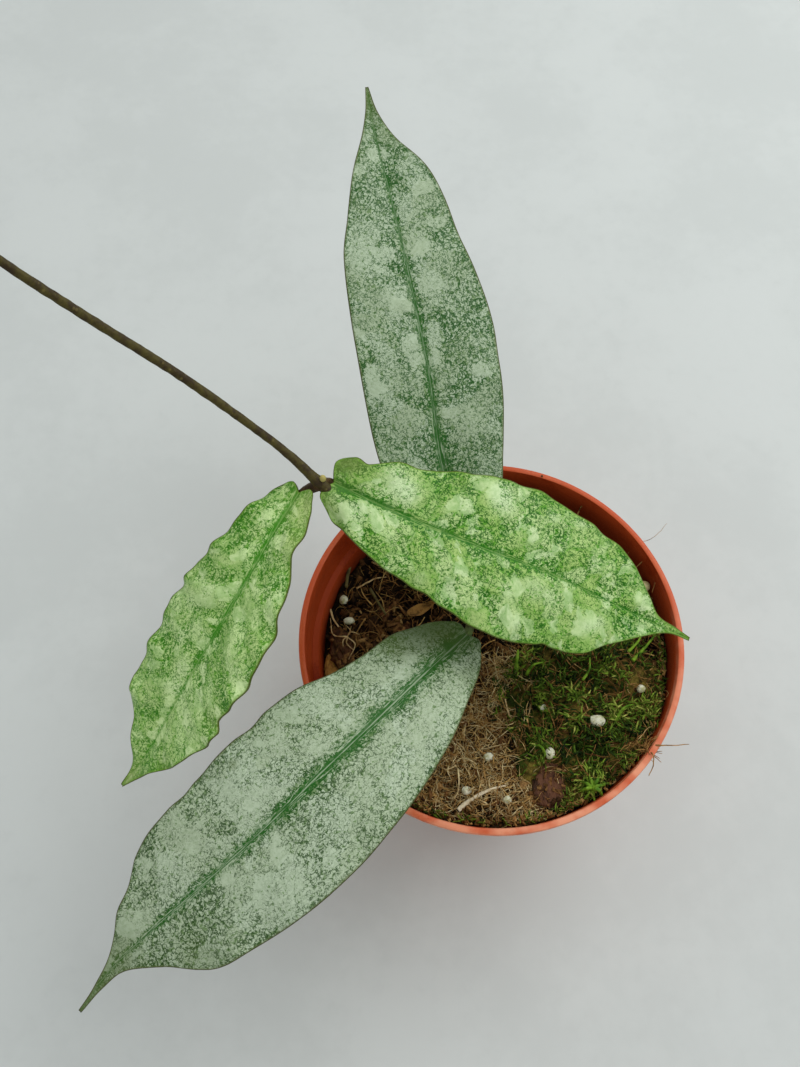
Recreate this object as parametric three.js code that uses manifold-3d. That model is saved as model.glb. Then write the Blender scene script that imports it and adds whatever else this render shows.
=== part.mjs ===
// A young wax vine in a round plastic nursery pot: four long leaves in two opposite pairs, on a stem
// that rises from peaty soil and runs on as one long bare shoot with a pair of tiny leaves at its tip.
// Millimetres, +Z up. The origin is the centre of the pot's flat base. The front is -Y.
import * as THREE from "three";
import { mergeVertices } from "three/addons/utils/BufferGeometryUtils.js";
import Module from "manifold-3d";

const wasm = await Module();
wasm.setup();

// Driving dimensions of the pot
const GAP = 0.3;
const POT_HEIGHT = 95;
const RIM_RADIUS = 60;
const LIP_WIDTH = 2;
const BASE_RADIUS = 41.5;
const WALL = 1.3;
const FLOOR = 2;
const COLLAR_HEIGHT = 12;
const COLLAR_STEP = 2.4;
const COLLAR_TAPER = 1.2;
const POT_SIDES = 48;
const DRAIN_HOLES = 8;
const DRAIN_RADIUS = 3.5;
const DRAIN_CIRCLE = 27;

// Driving dimensions of the soil: its surface leans down to the left and to the back
const SOIL_LEVEL = 82;
const SOIL_SLOPE_X = 0.06;
const SOIL_SLOPE_Y = -0.09;
const RELIEF_CELL = 6;
const MOSS_CENTRE = [31, -23];
const MOSS_RADIUS = 27;
const MOSS_THICKNESS = 2.2;
const MOSS_CLEARANCE = 0.9;
const MOSS_CELL = 4.5;
const MOSS_POINTS = 30;

// Driving dimensions of the stem: points on its centre line, with the stem's radius at each
const STEM_FOOT = [-3, 9];
const STEM_DEPTH = 35;
const STEM_RADIUS = 2;
const LOWER_NODE = [-6, 4.5, 105];
const UPPER_NODE = [-50, 25.5, 150];
const STEM_ROUTE = [
  { at: [...STEM_FOOT, SOIL_LEVEL - STEM_DEPTH], radius: STEM_RADIUS },
  { at: [...STEM_FOOT, SOIL_LEVEL - STEM_DEPTH / 2], radius: STEM_RADIUS },
  { at: [...STEM_FOOT, SOIL_LEVEL + 3], radius: STEM_RADIUS },
  { at: [-4, 7, 94], radius: 1.9 },
  { at: LOWER_NODE, radius: 1.9 },
  { at: [-20, 10, 120], radius: 1.7 },
  { at: [-36, 17.5, 136], radius: 1.5 },
  { at: UPPER_NODE, radius: 1.5 },
  { at: [-61, 30.5, 163.5], radius: 1.1 },
  { at: [-80, 34, 189.5], radius: 1.1 },
  { at: [-95.5, 34, 213], radius: 1.05 },
  { at: [-107.5, 33.5, 233], radius: 1 },
  { at: [-118, 33, 254], radius: 0.9 },
  { at: [-126, 33, 276], radius: 0.8 },
];
const STEM_STEPS = 52;
const LOWER_SWELLING = 2.7;
const UPPER_SWELLING = 2.2;
const BUD_RADIUS = 0.9;

// Where along a blade the half-widths are given, from its base at 0 to its drip tip at 1
const STATIONS = [0, 0.04, 0.1, 0.2, 0.35, 0.5, 0.65, 0.73, 0.8, 0.88, 0.94, 1];
const WIDE = 22;
const LOBE_SHARE = 0.12;
const BLADE_MIDDLE = 1.3;
const BLADE_EDGE = 0.8;
const PUCKER_SWEEP = 0.12;
const LEFT_PHASE = 0.9;
const RIGHT_PHASE = 2.3;
const CALM_WIDTH = 8;

// Each leaf: its midrib, its half-widths seen from the base, its tilt to the right at base, middle
// and tip in degrees, how steeply both halves rise (keel), how far the margins bend down again
// (droop), how far the base reaches back (lobe), the waves of its margin and the puckers between
// its side veins
const LEAVES = {
  leaf_back: {
    grows: LOWER_NODE,
    midrib: [
      [-5, 14.5, 107.5], [-15, 44.5, 120], [-19.5, 72, 132], [-25, 98, 142], [-31, 124, 150],
      [-35.5, 141, 155], [-39, 162.5, 158],
    ],
    left: [5.5, 9.5, 13, 17.5, 20.5, 20.6, 18.7, 14.8, 11, 4.8, 1.9, 0.5],
    right: [5.5, 9.5, 13.5, 18.5, 22, 22.3, 18.2, 16.3, 13.3, 5.9, 2, 0.5],
    tilt: [0, 0, 0],
    keel: 0.08,
    droop: 1.5,
    lobe: 1,
    ripple: 0.5,
    ripples: 5,
    pucker: 0.15,
    puckers: 8,
    rows: 36,
    columns: 6,
  },
  leaf_front: {
    grows: LOWER_NODE,
    midrib: [
      [-8.5, -4.5, 111], [-25.5, -23, 120], [-48.5, -46.5, 124], [-68, -64.5, 119],
      [-91, -82.5, 107], [-107, -95, 96], [-117, -106, 87],
    ],
    left: [6, 10.2, 13.6, 19, 23.3, 24.1, 21.3, 18.4, 9.6, 3.4, 1.4, 0.5],
    right: [6.2, 11, 14.5, 16.6, 23, 23.6, 22, 19.4, 12.4, 3.1, 0.8, 0.5],
    tilt: [0, 0, 0],
    keel: 0.06,
    droop: 3,
    lobe: 1,
    ripple: 0.7,
    ripples: 6,
    pucker: 0.2,
    puckers: 9,
    rows: 36,
    columns: 6,
  },
  leaf_right: {
    grows: UPPER_NODE,
    midrib: [
      [-46.5, 26.5, 149], [-31.5, 20, 146], [-7, 12.5, 138], [15.5, 7, 129], [41, -1.5, 118],
      [56.5, -6.5, 112],
    ],
    left: [7, 9, 12.5, 14.7, 20.4, 22, 18.7, 16.8, 13.3, 6.1, 2.2, 0.5],
    right: [6, 9.2, 12.5, 16.2, 19.8, 22.4, 19.5, 17.6, 11.2, 4.6, 1, 0.5],
    tilt: [-8, -10, -8],
    keel: 0.1,
    droop: 4,
    lobe: 2,
    ripple: 0.8,
    ripples: 8,
    pucker: 0.9,
    puckers: 9,
    rows: 42,
    columns: 8,
  },
  leaf_left: {
    grows: UPPER_NODE,
    midrib: [
      [-56, 23.5, 149], [-63.5, 11, 146], [-74.5, -5, 136], [-88, -21, 120], [-101, -37, 103],
      [-110.5, -45.5, 93],
    ],
    left: [6, 7.8, 9.5, 13.4, 18.3, 19.5, 18.6, 14.8, 11.6, 5.8, 2.9, 0.5],
    right: [4.7, 8, 10.5, 13.3, 17.8, 19.6, 17.4, 17.2, 13.9, 5.9, 1.4, 0.5],
    tilt: [-14, -18, -14],
    keel: 0.25,
    droop: 5,
    lobe: 2,
    ripple: 0.8,
    ripples: 8,
    pucker: 0.9,
    puckers: 9,
    rows: 40,
    columns: 8,
  },
};

const RIB = { sides: 8, steps: 16, petiole: 1.4, end: 0.5, reach: 0.86 };

// Loose pieces on the soil: places across the pot and sizes
const PERLITE = [
  { x: 32, y: -25.5, size: [2.7, 1.9, 1.7] },
  { x: 16.2, y: -20.8, size: [1.5, 1.3, 1.2] },
  { x: 46.7, y: -15.2, size: [1.4, 1.3, 1.2] },
  { x: 17, y: -35.2, size: [1.6, 1.9, 1.3] },
  { x: -1.2, y: -35.6, size: [1.8, 1.4, 1.2] },
  { x: 3.6, y: -49, size: [1.4, 1.3, 1.2] },
  { x: -8.3, y: -45.9, size: [1.6, 1.4, 1.2] },
  { x: -47.2, y: 18, size: [1.5, 1.6, 1.3] },
  { x: -45.2, y: 10.5, size: [2, 1.3, 1.2] },
];
const PERLITE_LIFT = 0.2;
const BARK_LIFT = 0.4;
const FEED_BEAD = { x: 50.8, y: 19.3, z: 85.2, radius: 1.8 };
const BARK = [
  { name: "bark_chip_left", x: -47.5, y: 0.5, long: 12, wide: 7, thick: 3, turn: 100 },
  { name: "bark_chip_front", x: 16.5, y: -44.5, long: 13, wide: 9, thick: 3.2, turn: 75 },
  { name: "wood_chip", x: -50.6, y: -6.5, long: 10, wide: 4, thick: 2.2, turn: 96 },
];
const TWIG = {
  from: [-11, -51.6], bend: [-4.6, -48.4], to: [3.4, -43.6], lift: 0.5, thick: 0.9, thin: 0.6,
  steps: 8, sides: 6,
};
const LITTER = {
  from: [-26, 11.5], to: [-17, 15.5], halfWidth: 3.6, slant: -0.4, curl: 1.2, lift: 1, thickness: 0.8,
  rows: 6, columns: 4,
};

// How far random draws move the surface of grains and chips, as a share of their size, and a
// chip's sections: where along it each lies and how wide it is there, as shares
const GRAIN_ROUGHNESS = 0.22;
const CHIP_ROUGHNESS = 0.2;
const CHIP_SIDES = 8;
const CHIP_SECTIONS = [[-0.5, 0.55], [-0.3, 0.95], [0, 1], [0.28, 0.85], [0.5, 0.5]];
const MERGE_DISTANCE = 1e-4;

// The same random draws every time, from one seed
function seededRandom(seed) {
  let state = seed;
  return () => {
    state = (state * 1664525 + 1013904223) % 4294967296;
    return state / 4294967296;
  };
}

// A value between hand-chosen stations, on a smooth curve through them
function through(values, share) {
  const slope = (i) => {
    const before = Math.max(i - 1, 0);
    const after = Math.min(i + 1, values.length - 1);
    return (values[after] - values[before]) / (STATIONS[after] - STATIONS[before]);
  };
  let i = 0;
  while (i < STATIONS.length - 2 && share > STATIONS[i + 1]) {
    i += 1;
  }
  const span = STATIONS[i + 1] - STATIONS[i];
  const t = (share - STATIONS[i]) / span;
  return (
    values[i] * (2 * t ** 3 - 3 * t ** 2 + 1) +
    slope(i) * span * (t ** 3 - 2 * t ** 2 + t) +
    values[i + 1] * (3 * t ** 2 - 2 * t ** 3) +
    slope(i + 1) * span * (t ** 3 - t ** 2)
  );
}

// Rings of points joined into one closed skin. Each ring runs along its upper side and back along
// its lower side, so both ends close with rungs between the two sides.
function loft(rings) {
  const count = rings[0].length;
  const half = count / 2;
  const positions = rings.flat().flatMap((point) => point.toArray());
  const index = [];
  for (let ring = 0; ring < rings.length - 1; ring += 1) {
    for (let i = 0; i < count; i += 1) {
      const a = ring * count + i;
      const b = ring * count + ((i + 1) % count);
      const c = a + count;
      const d = b + count;
      if (i < half) {
        index.push(a, b, d, a, d, c);
      } else {
        index.push(a, b, c, b, d, c);
      }
    }
  }
  const last = (rings.length - 1) * count;
  for (let i = 0; i < half - 1; i += 1) {
    const pair = count - 1 - i;
    index.push(i, pair, i + 1, pair, pair - 1, i + 1);
    index.push(last + i, last + i + 1, last + pair, last + pair, last + i + 1, last + pair - 1);
  }
  const geometry = new THREE.BufferGeometry();
  geometry.setAttribute("position", new THREE.Float32BufferAttribute(positions, 3));
  geometry.setIndex(index);
  return facingOut(geometry);
}

// Turns every face round if the skin encloses a negative volume
function facingOut(geometry) {
  const at = geometry.attributes.position;
  const index = geometry.index.array;
  const [a, b, c] = [new THREE.Vector3(), new THREE.Vector3(), new THREE.Vector3()];
  let volume = 0;
  for (let i = 0; i < index.length; i += 3) {
    a.fromBufferAttribute(at, index[i]);
    b.fromBufferAttribute(at, index[i + 1]);
    c.fromBufferAttribute(at, index[i + 2]);
    volume += a.dot(b.cross(c));
  }
  if (volume < 0) {
    for (let i = 0; i < index.length; i += 3) {
      [index[i], index[i + 1]] = [index[i + 1], index[i]];
    }
  }
  return geometry;
}

// A copy with positions alone, whose shared corners are merged
function merged(geometry) {
  const bare = geometry.clone();
  bare.deleteAttribute("normal");
  bare.deleteAttribute("uv");
  return mergeVertices(bare, MERGE_DISTANCE);
}

// A closed geometry as a solid that can be joined and cut
function toSolid(geometry) {
  const closed = merged(geometry);
  return new wasm.Manifold(
    new wasm.Mesh({
      numProp: 3,
      vertProperties: Float32Array.from(closed.attributes.position.array),
      triVerts: Uint32Array.from(closed.index.array),
    }),
  );
}

// The largest body of a solid, as a geometry
function toGeometry(solid) {
  const bodies = solid.decompose();
  const largest = bodies.reduce((best, body) => (body.volume() > best.volume() ? body : best));
  const mesh = largest.getMesh();
  const geometry = new THREE.BufferGeometry();
  geometry.setAttribute("position", new THREE.Float32BufferAttribute(mesh.vertProperties, 3));
  geometry.setIndex(Array.from(mesh.triVerts));
  return geometry;
}

// A round tube along a curve, with a radius that changes along it
function tube(curve, radiusAt, steps, sides) {
  const frames = curve.computeFrenetFrames(steps, false);
  const rings = [];
  for (let step = 0; step <= steps; step += 1) {
    const centre = curve.getPointAt(step / steps);
    const ring = [];
    for (let side = 0; side < sides; side += 1) {
      const angle = ((side + 0.5) / sides) * 2 * Math.PI;
      const point = centre.clone();
      point.addScaledVector(frames.normals[step], Math.cos(angle) * radiusAt(step / steps));
      point.addScaledVector(frames.binormals[step], Math.sin(angle) * radiusAt(step / steps));
      ring.push(point);
    }
    rings.push(ring);
  }
  return loft(rings);
}

function smoothCurve(points) {
  const vectors = points.map((point) => new THREE.Vector3(...point));
  return new THREE.CatmullRomCurve3(vectors, false, "catmullrom", 0.5);
}

// Centre, side and up directions at a share of a leaf's midrib
function midribFrame(leaf, share) {
  const curve = leaf.curve;
  const tangent = curve.getTangentAt(share);
  const side = new THREE.Vector3().crossVectors(tangent, new THREE.Vector3(0, 0, 1)).normalize();
  const up = new THREE.Vector3().crossVectors(side, tangent);
  const [base, middle, tip] = leaf.tilt;
  const tilt = share < 0.5
    ? base + (middle - base) * share * 2
    : middle + (tip - middle) * (share * 2 - 1);
  const turn = THREE.MathUtils.degToRad(tilt);
  const tiltedSide = side.clone().multiplyScalar(Math.cos(turn)).addScaledVector(up, Math.sin(turn));
  const tiltedUp = new THREE.Vector3().crossVectors(tiltedSide, tangent);
  return { centre: curve.getPointAt(share), tangent, side: tiltedSide, up: tiltedUp };
}

// A point of the blade's upper face: share runs from base to tip, across from -1 at the left margin
// to 1 at the right one. Depth is how far below the upper face the point lies. Where the blade is
// narrower than the calm width its waves and puckers die out.
function bladePoint(leaf, frame, share, across, depth) {
  const reach = Math.abs(across);
  const halfWidth = through(across < 0 ? leaf.left : leaf.right, share);
  const out = reach * halfWidth;
  const phase = across < 0 ? LEFT_PHASE : RIGHT_PHASE;
  const beat = 2 * Math.PI * leaf.ripples * share;
  const wave = Math.sin(beat + phase) + 0.5 * Math.sin(1.7 * beat + 3 * phase);
  const ripple = leaf.ripple * reach ** 3 * wave;
  const bump = Math.abs(Math.sin(Math.PI * leaf.puckers * (share - PUCKER_SWEEP * reach) + phase));
  const pucker = leaf.pucker * bump * Math.sin(Math.PI * reach);
  const lift = leaf.keel * out - leaf.droop * (out / WIDE) ** 2;
  const fade = Math.min(1, halfWidth / CALM_WIDTH);
  const back = leaf.lobe * Math.sin(0.75 * Math.PI * reach) * Math.max(0, 1 - share / LOBE_SHARE) ** 2;
  return frame.centre.clone()
    .addScaledVector(frame.side, Math.sign(across) * out)
    .addScaledVector(frame.tangent, -back)
    .addScaledVector(frame.up, lift + (ripple + pucker) * fade - depth);
}

// The blade: a thin waved sheet, thickest along its midrib
function blade(leaf) {
  const rings = [];
  for (let row = 0; row <= leaf.rows; row += 1) {
    const share = row / leaf.rows;
    const frame = midribFrame(leaf, share);
    const upper = [];
    const lower = [];
    for (let column = 0; column <= leaf.columns; column += 1) {
      const across = (column / leaf.columns) * 2 - 1;
      const thickness = BLADE_EDGE + (BLADE_MIDDLE - BLADE_EDGE) * (1 - across ** 2);
      upper.push(bladePoint(leaf, frame, share, across, 0));
      lower.push(bladePoint(leaf, frame, share, across, thickness));
    }
    rings.push([...upper, ...lower.reverse()]);
  }
  return toSolid(loft(rings));
}

// The petiole comes from inside the stem's swelling and runs on under the blade as its midrib
function ribAndPetiole(leaf) {
  const route = [leaf.grows];
  for (const share of [0, 0.08, 0.25, 0.5, 0.7, RIB.reach]) {
    const frame = midribFrame(leaf, share);
    const sink = share === 0 ? RIB.petiole * 0.8 : BLADE_MIDDLE;
    route.push(frame.centre.addScaledVector(frame.up, -sink).toArray());
  }
  const taper = (share) => RIB.petiole + (RIB.end - RIB.petiole) * Math.min(1, share * 1.25);
  return toSolid(tube(smoothCurve(route), taper, RIB.steps, RIB.sides));
}

// The stem with its two swellings; margin is added to every radius to cut clearance for the leaves
function stemSolid(margin) {
  const curve = smoothCurve(STEM_ROUTE.map((stop) => stop.at));
  const radii = STEM_ROUTE.map((stop) => stop.radius);
  const radiusAt = (share) => {
    const place = curve.getUtoTmapping(share) * (radii.length - 1);
    const i = Math.min(Math.floor(place), radii.length - 2);
    return radii[i] + (radii[i + 1] - radii[i]) * (place - i) + margin;
  };
  let solid = toSolid(tube(curve, radiusAt, STEM_STEPS, 8));
  for (const [centre, radius] of [[LOWER_NODE, LOWER_SWELLING], [UPPER_NODE, UPPER_SWELLING]]) {
    const ball = new THREE.SphereGeometry(radius + margin, 10, 7);
    ball.translate(...centre);
    solid = solid.add(toSolid(ball));
  }
  return solid;
}

// The tiny pair of leaves still folded round the bud at the shoot's tip
const TIP_LEAF = {
  left: [0.8, 1.1, 1.5, 2, 2.5, 2.6, 2.2, 1.8, 1.4, 0.9, 0.6, 0.4],
  right: [0.8, 1.1, 1.5, 2, 2.5, 2.6, 2.2, 1.8, 1.4, 0.9, 0.6, 0.4],
  tilt: [0, 0, 0],
  keel: 0.3,
  droop: 0,
  lobe: 0,
  ripple: 0,
  ripples: 1,
  pucker: 0,
  puckers: 1,
  rows: 10,
  columns: 4,
};
const TIP_MIDRIBS = [
  [[-126, 33, 275], [-130, 32.5, 281], [-135.5, 32, 286], [-142, 32, 289]],
  [[-126, 33, 275], [-127, 33.5, 282], [-127.5, 34.5, 288], [-128.5, 36.5, 294]],
];

function plantStem() {
  let solid = stemSolid(0);
  for (const midrib of TIP_MIDRIBS) {
    solid = solid.add(blade({ ...TIP_LEAF, curve: smoothCurve(midrib) }));
  }
  const bud = new THREE.SphereGeometry(BUD_RADIUS, 8, 6);
  bud.scale(1, 1, 1.5);
  bud.translate(UPPER_NODE[0] + 0.8, UPPER_NODE[1] + 0.4, UPPER_NODE[2] + UPPER_SWELLING + 0.2);
  return solid.add(toSolid(bud));
}

function leafSolid(spec, clearance) {
  const leaf = { ...spec, curve: smoothCurve(spec.midrib) };
  return blade(leaf).add(ribAndPetiole(leaf)).subtract(clearance);
}

// Inside radii of the pot at its floor, just under the ledge of its collar, above it and at the lip
const INSIDE = {
  floor: BASE_RADIUS - WALL,
  underLedge: RIM_RADIUS - LIP_WIDTH - COLLAR_TAPER - COLLAR_STEP,
  overLedge: RIM_RADIUS - LIP_WIDTH - COLLAR_TAPER,
  lip: RIM_RADIUS - LIP_WIDTH,
};
const LEDGE = POT_HEIGHT - COLLAR_HEIGHT;

// A tapered cup with a flat floor, a wider collar and a flat lip round its mouth
function pot() {
  const outside = [
    [0, 0], [BASE_RADIUS - 0.8, 0], [BASE_RADIUS, 0.8],
    [INSIDE.underLedge + WALL, LEDGE - 1.2], [INSIDE.overLedge + WALL, LEDGE - 0.4],
    [INSIDE.lip + 0.3, POT_HEIGHT - 2.2], [RIM_RADIUS, POT_HEIGHT - 1.8],
    [RIM_RADIUS, POT_HEIGHT - 0.3], [RIM_RADIUS - 0.3, POT_HEIGHT],
  ];
  const inside = [
    [INSIDE.lip + 0.2, POT_HEIGHT], [INSIDE.lip - 0.1, POT_HEIGHT - 0.4],
    [INSIDE.overLedge, LEDGE + 1], [INSIDE.underLedge, LEDGE], [INSIDE.floor, FLOOR], [0, FLOOR],
  ];
  const profile = [...outside, ...inside].map(([radius, height]) => new THREE.Vector2(radius, height));
  const cup = new THREE.LatheGeometry(profile, POT_SIDES);
  cup.rotateX(Math.PI / 2);
  let solid = toSolid(facingOut(merged(cup)));
  for (let hole = 0; hole < DRAIN_HOLES; hole += 1) {
    const angle = (hole / DRAIN_HOLES) * 2 * Math.PI;
    const drill = new THREE.CylinderGeometry(DRAIN_RADIUS, DRAIN_RADIUS, FLOOR * 3, 12);
    drill.rotateX(Math.PI / 2);
    drill.translate(DRAIN_CIRCLE * Math.cos(angle), DRAIN_CIRCLE * Math.sin(angle), FLOOR / 2);
    solid = solid.subtract(toSolid(drill));
  }
  return solid;
}

// The soil's surface: a gentle lean with crumbly relief on it
function soilHeight(x, y) {
  const lean = SOIL_SLOPE_X * x + SOIL_SLOPE_Y * y;
  const swell = Math.sin(x / 6.1 + 1.3) * Math.cos(y / 7.3);
  const crumbs = 0.6 * Math.sin((x + y) / 4.1 + 0.4) + 0.5 * Math.sin(x / 2.9) * Math.sin(y / 3.1 + 1);
  return SOIL_LEVEL + lean + swell + crumbs;
}

function mossHeight(x, y) {
  const tufts = 0.7 * Math.sin(x / 2.3 + 1) * Math.sin(y / 2.7) + 0.5 * Math.sin((x - y) / 3.7);
  return soilHeight(x, y) + MOSS_THICKNESS + tufts;
}

// A square block whose top is a height formula
function block(heightAt, cell, bottom) {
  const reach = Math.ceil(RIM_RADIUS / cell) * cell;
  const rings = [];
  for (let y = -reach; y <= reach; y += cell) {
    const upper = [];
    const lower = [];
    for (let x = -reach; x <= reach; x += cell) {
      upper.push(new THREE.Vector3(x, y, heightAt(x, y)));
      lower.push(new THREE.Vector3(x, y, bottom));
    }
    rings.push([...upper, ...lower.reverse()]);
  }
  return toSolid(loft(rings));
}

function soil() {
  const profile = [
    [0, FLOOR + GAP], [INSIDE.floor - GAP, FLOOR + GAP], [INSIDE.underLedge - GAP, LEDGE + 0.2],
    [INSIDE.overLedge - GAP, LEDGE + 1.4], [INSIDE.lip - GAP - 0.2, POT_HEIGHT], [0, POT_HEIGHT],
  ].map(([radius, height]) => new THREE.Vector2(radius, height));
  const filling = new THREE.LatheGeometry(profile, POT_SIDES);
  filling.rotateX(Math.PI / 2);
  const holeRadius = STEM_RADIUS + GAP;
  const hole = new THREE.CylinderGeometry(holeRadius, holeRadius, STEM_DEPTH * 2, 12);
  hole.rotateX(Math.PI / 2);
  hole.translate(...STEM_FOOT, SOIL_LEVEL - GAP);
  return toSolid(facingOut(merged(filling)))
    .intersect(block(soilHeight, RELIEF_CELL, -FLOOR))
    .subtract(toSolid(hole));
}

// A mat of moss that follows the soil and thins out along an uneven edge
function moss() {
  const points = [];
  for (let i = 0; i < MOSS_POINTS; i += 1) {
    const angle = (i / MOSS_POINTS) * 2 * Math.PI;
    const radius = MOSS_RADIUS + 2.5 * Math.sin(3 * angle + 1) + 1.8 * Math.sin(7 * angle);
    points.push(new THREE.Vector2(
      MOSS_CENTRE[0] + radius * Math.cos(angle), MOSS_CENTRE[1] + radius * Math.sin(angle)));
  }
  const patch = new THREE.ExtrudeGeometry(
    new THREE.Shape(points), { depth: POT_HEIGHT, bevelEnabled: false });
  const radius = INSIDE.underLedge - 1;
  const within = new THREE.CylinderGeometry(radius, radius, 3 * POT_HEIGHT, POT_SIDES);
  within.rotateX(Math.PI / 2);
  return toSolid(patch)
    .intersect(toSolid(within))
    .intersect(block(mossHeight, MOSS_CELL, SOIL_LEVEL / 2))
    .subtract(block((x, y) => soilHeight(x, y) + GAP, RELIEF_CELL, -FLOOR));
}

// A rough grain: a faceted ball with its corners moved in and out
function grain(size, centre, random, margin) {
  const ball = merged(new THREE.OctahedronGeometry(1, 1));
  const at = ball.attributes.position;
  for (let i = 0; i < at.count; i += 1) {
    const push = 1 + GRAIN_ROUGHNESS * (random() - 0.5);
    at.setXYZ(
      i,
      at.getX(i) * (size[0] * push + margin) + centre[0],
      at.getY(i) * (size[1] * push + margin) + centre[1],
      at.getZ(i) * (size[2] * push + margin) + centre[2],
    );
  }
  return toSolid(ball);
}

// A splintered chip: a short loft whose section swells and shrinks
function chip(spec, centre, random, margin) {
  const rings = [];
  const turn = THREE.MathUtils.degToRad(spec.turn);
  for (const [along, width] of CHIP_SECTIONS) {
    const ring = [];
    for (let i = 0; i < CHIP_SIDES; i += 1) {
      const angle = ((i + 0.5) / CHIP_SIDES) * 2 * Math.PI;
      const rough = 1 + CHIP_ROUGHNESS * (random() - 0.5);
      const across = Math.cos(angle) * (spec.wide * 0.5 * width * rough + margin);
      const up = Math.sin(angle) * (spec.thick * 0.5 * rough + margin);
      const length = along * (spec.long + 2 * margin);
      ring.push(new THREE.Vector3(
        centre[0] + length * Math.cos(turn) - across * Math.sin(turn),
        centre[1] + length * Math.sin(turn) + across * Math.cos(turn),
        centre[2] + up,
      ));
    }
    rings.push(ring);
  }
  return toSolid(loft(rings));
}

const COLOURS = {
  pot: 0xb5532c,
  soil: 0x3c2c1c,
  moss: 0x4a6a22,
  stem: 0x4a3d1e,
  leaf_back: 0x8fae92,
  leaf_front: 0x86a78c,
  leaf_right: 0x9cc47a,
  leaf_left: 0x98c276,
  perlite: 0xdcdccd,
  feed_bead: 0xd9cf8e,
  bark_chip_left: 0x4b3123,
  bark_chip_front: 0x5a3a2a,
  wood_chip: 0x9a7742,
  dry_twig: 0xcdb992,
  leaf_litter: 0x9c5f2c,
};

const plant = new THREE.Group();

function place(name, solid, colour) {
  const material = new THREE.MeshStandardMaterial({ color: colour, roughness: 0.7, metalness: 0 });
  const mesh = new THREE.Mesh(toGeometry(solid), material);
  mesh.name = name;
  plant.add(mesh);
}

// The height of the ground, which is the moss well inside its mat and the soil elsewhere
function onGround(x, y) {
  const inMoss = Math.hypot(x - MOSS_CENTRE[0], y - MOSS_CENTRE[1]) < MOSS_RADIUS - 3;
  return inMoss ? mossHeight(x, y) : soilHeight(x, y);
}

// Every loose piece lies half sunk in its own hollow in the soil, which is the piece grown by the
// gap, and the moss grows up to it with a little more room. The bead lies on the collar's ledge.
const loose = [];
PERLITE.forEach((spec, i) => {
  const centre = [spec.x, spec.y, onGround(spec.x, spec.y) + PERLITE_LIFT];
  const make = (margin) => grain(spec.size, centre, seededRandom(20 + i), margin);
  loose.push({ name: `perlite_${i + 1}`, make, colour: COLOURS.perlite });
});
loose.push({
  name: "feed_bead",
  make: (margin) => {
    const ball = new THREE.SphereGeometry(FEED_BEAD.radius + margin, 10, 8);
    ball.translate(FEED_BEAD.x, FEED_BEAD.y, FEED_BEAD.z);
    return toSolid(ball);
  },
  colour: COLOURS.feed_bead,
});
BARK.forEach((spec, i) => {
  const centre = [spec.x, spec.y, onGround(spec.x, spec.y) + BARK_LIFT];
  const make = (margin) => chip(spec, centre, seededRandom(60 + i), margin);
  loose.push({ name: spec.name, make, colour: COLOURS[spec.name] });
});
loose.push({
  name: "dry_twig",
  make: (margin) => {
    const route = [TWIG.from, TWIG.bend, TWIG.to].map(([x, y]) => [x, y, onGround(x, y) + TWIG.lift]);
    const taper = (share) => TWIG.thick + (TWIG.thin - TWIG.thick) * share + margin;
    return toSolid(tube(smoothCurve(route), taper, TWIG.steps, TWIG.sides));
  },
  colour: COLOURS.dry_twig,
});
loose.push({
  name: "leaf_litter",
  make: (margin) => {
    const rings = [];
    for (let row = 0; row <= LITTER.rows; row += 1) {
      const along = row / LITTER.rows;
      const x = LITTER.from[0] + (LITTER.to[0] - LITTER.from[0]) * along;
      const y = LITTER.from[1] + (LITTER.to[1] - LITTER.from[1]) * along;
      const half = LITTER.halfWidth * (0.35 + 0.65 * Math.sin(Math.PI * (0.12 + 0.76 * along))) + margin;
      const z = onGround(x, y) + LITTER.lift + LITTER.curl * (2 * along - 1) ** 2;
      const upper = [];
      const lower = [];
      for (let column = 0; column <= LITTER.columns; column += 1) {
        const across = (2 * column) / LITTER.columns - 1;
        const point = new THREE.Vector3(
          x + LITTER.slant * half * across, y + half * across, z + LITTER.curl * across ** 2);
        upper.push(point.clone().setZ(point.z + margin));
        lower.push(point.clone().setZ(point.z - LITTER.thickness - margin));
      }
      rings.push([...upper, ...lower.reverse()]);
    }
    return toSolid(loft(rings));
  },
  colour: COLOURS.leaf_litter,
});

let soilBody = soil();
let mossBody = moss();
for (const piece of loose) {
  soilBody = soilBody.subtract(piece.make(GAP));
  mossBody = mossBody.subtract(piece.make(MOSS_CLEARANCE));
}

place("pot", pot(), COLOURS.pot);
place("soil", soilBody, COLOURS.soil);
place("moss", mossBody, COLOURS.moss);
place("stem", plantStem(), COLOURS.stem);
const clearance = stemSolid(GAP);
for (const [name, spec] of Object.entries(LEAVES)) {
  place(name, leafSolid(spec, clearance), COLOURS[name]);
}
for (const piece of loose) {
  place(piece.name, piece.make(0), piece.colour);
}

export default plant;
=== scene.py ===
# %% [markdown]
# # A young wax vine in a nursery pot
#
# This lesson dresses a small climbing plant: four long leaves on a thin stem, in a round plastic pot
# of peat and moss. The solids of the plant are loaded first as a fixed frame. They give every place
# and size, and each step below then makes one piece of the plant finer: its real surface, its colour,
# and the small growth that a solid leaves out.
#
# All lengths in this file are millimetres. They are turned into Blender's metres at one place, when
# a piece is finished.

# %% Load the frame
import bisect
import math
import random

import bmesh
import bpy
from mathutils import Matrix, Vector, noise


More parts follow.
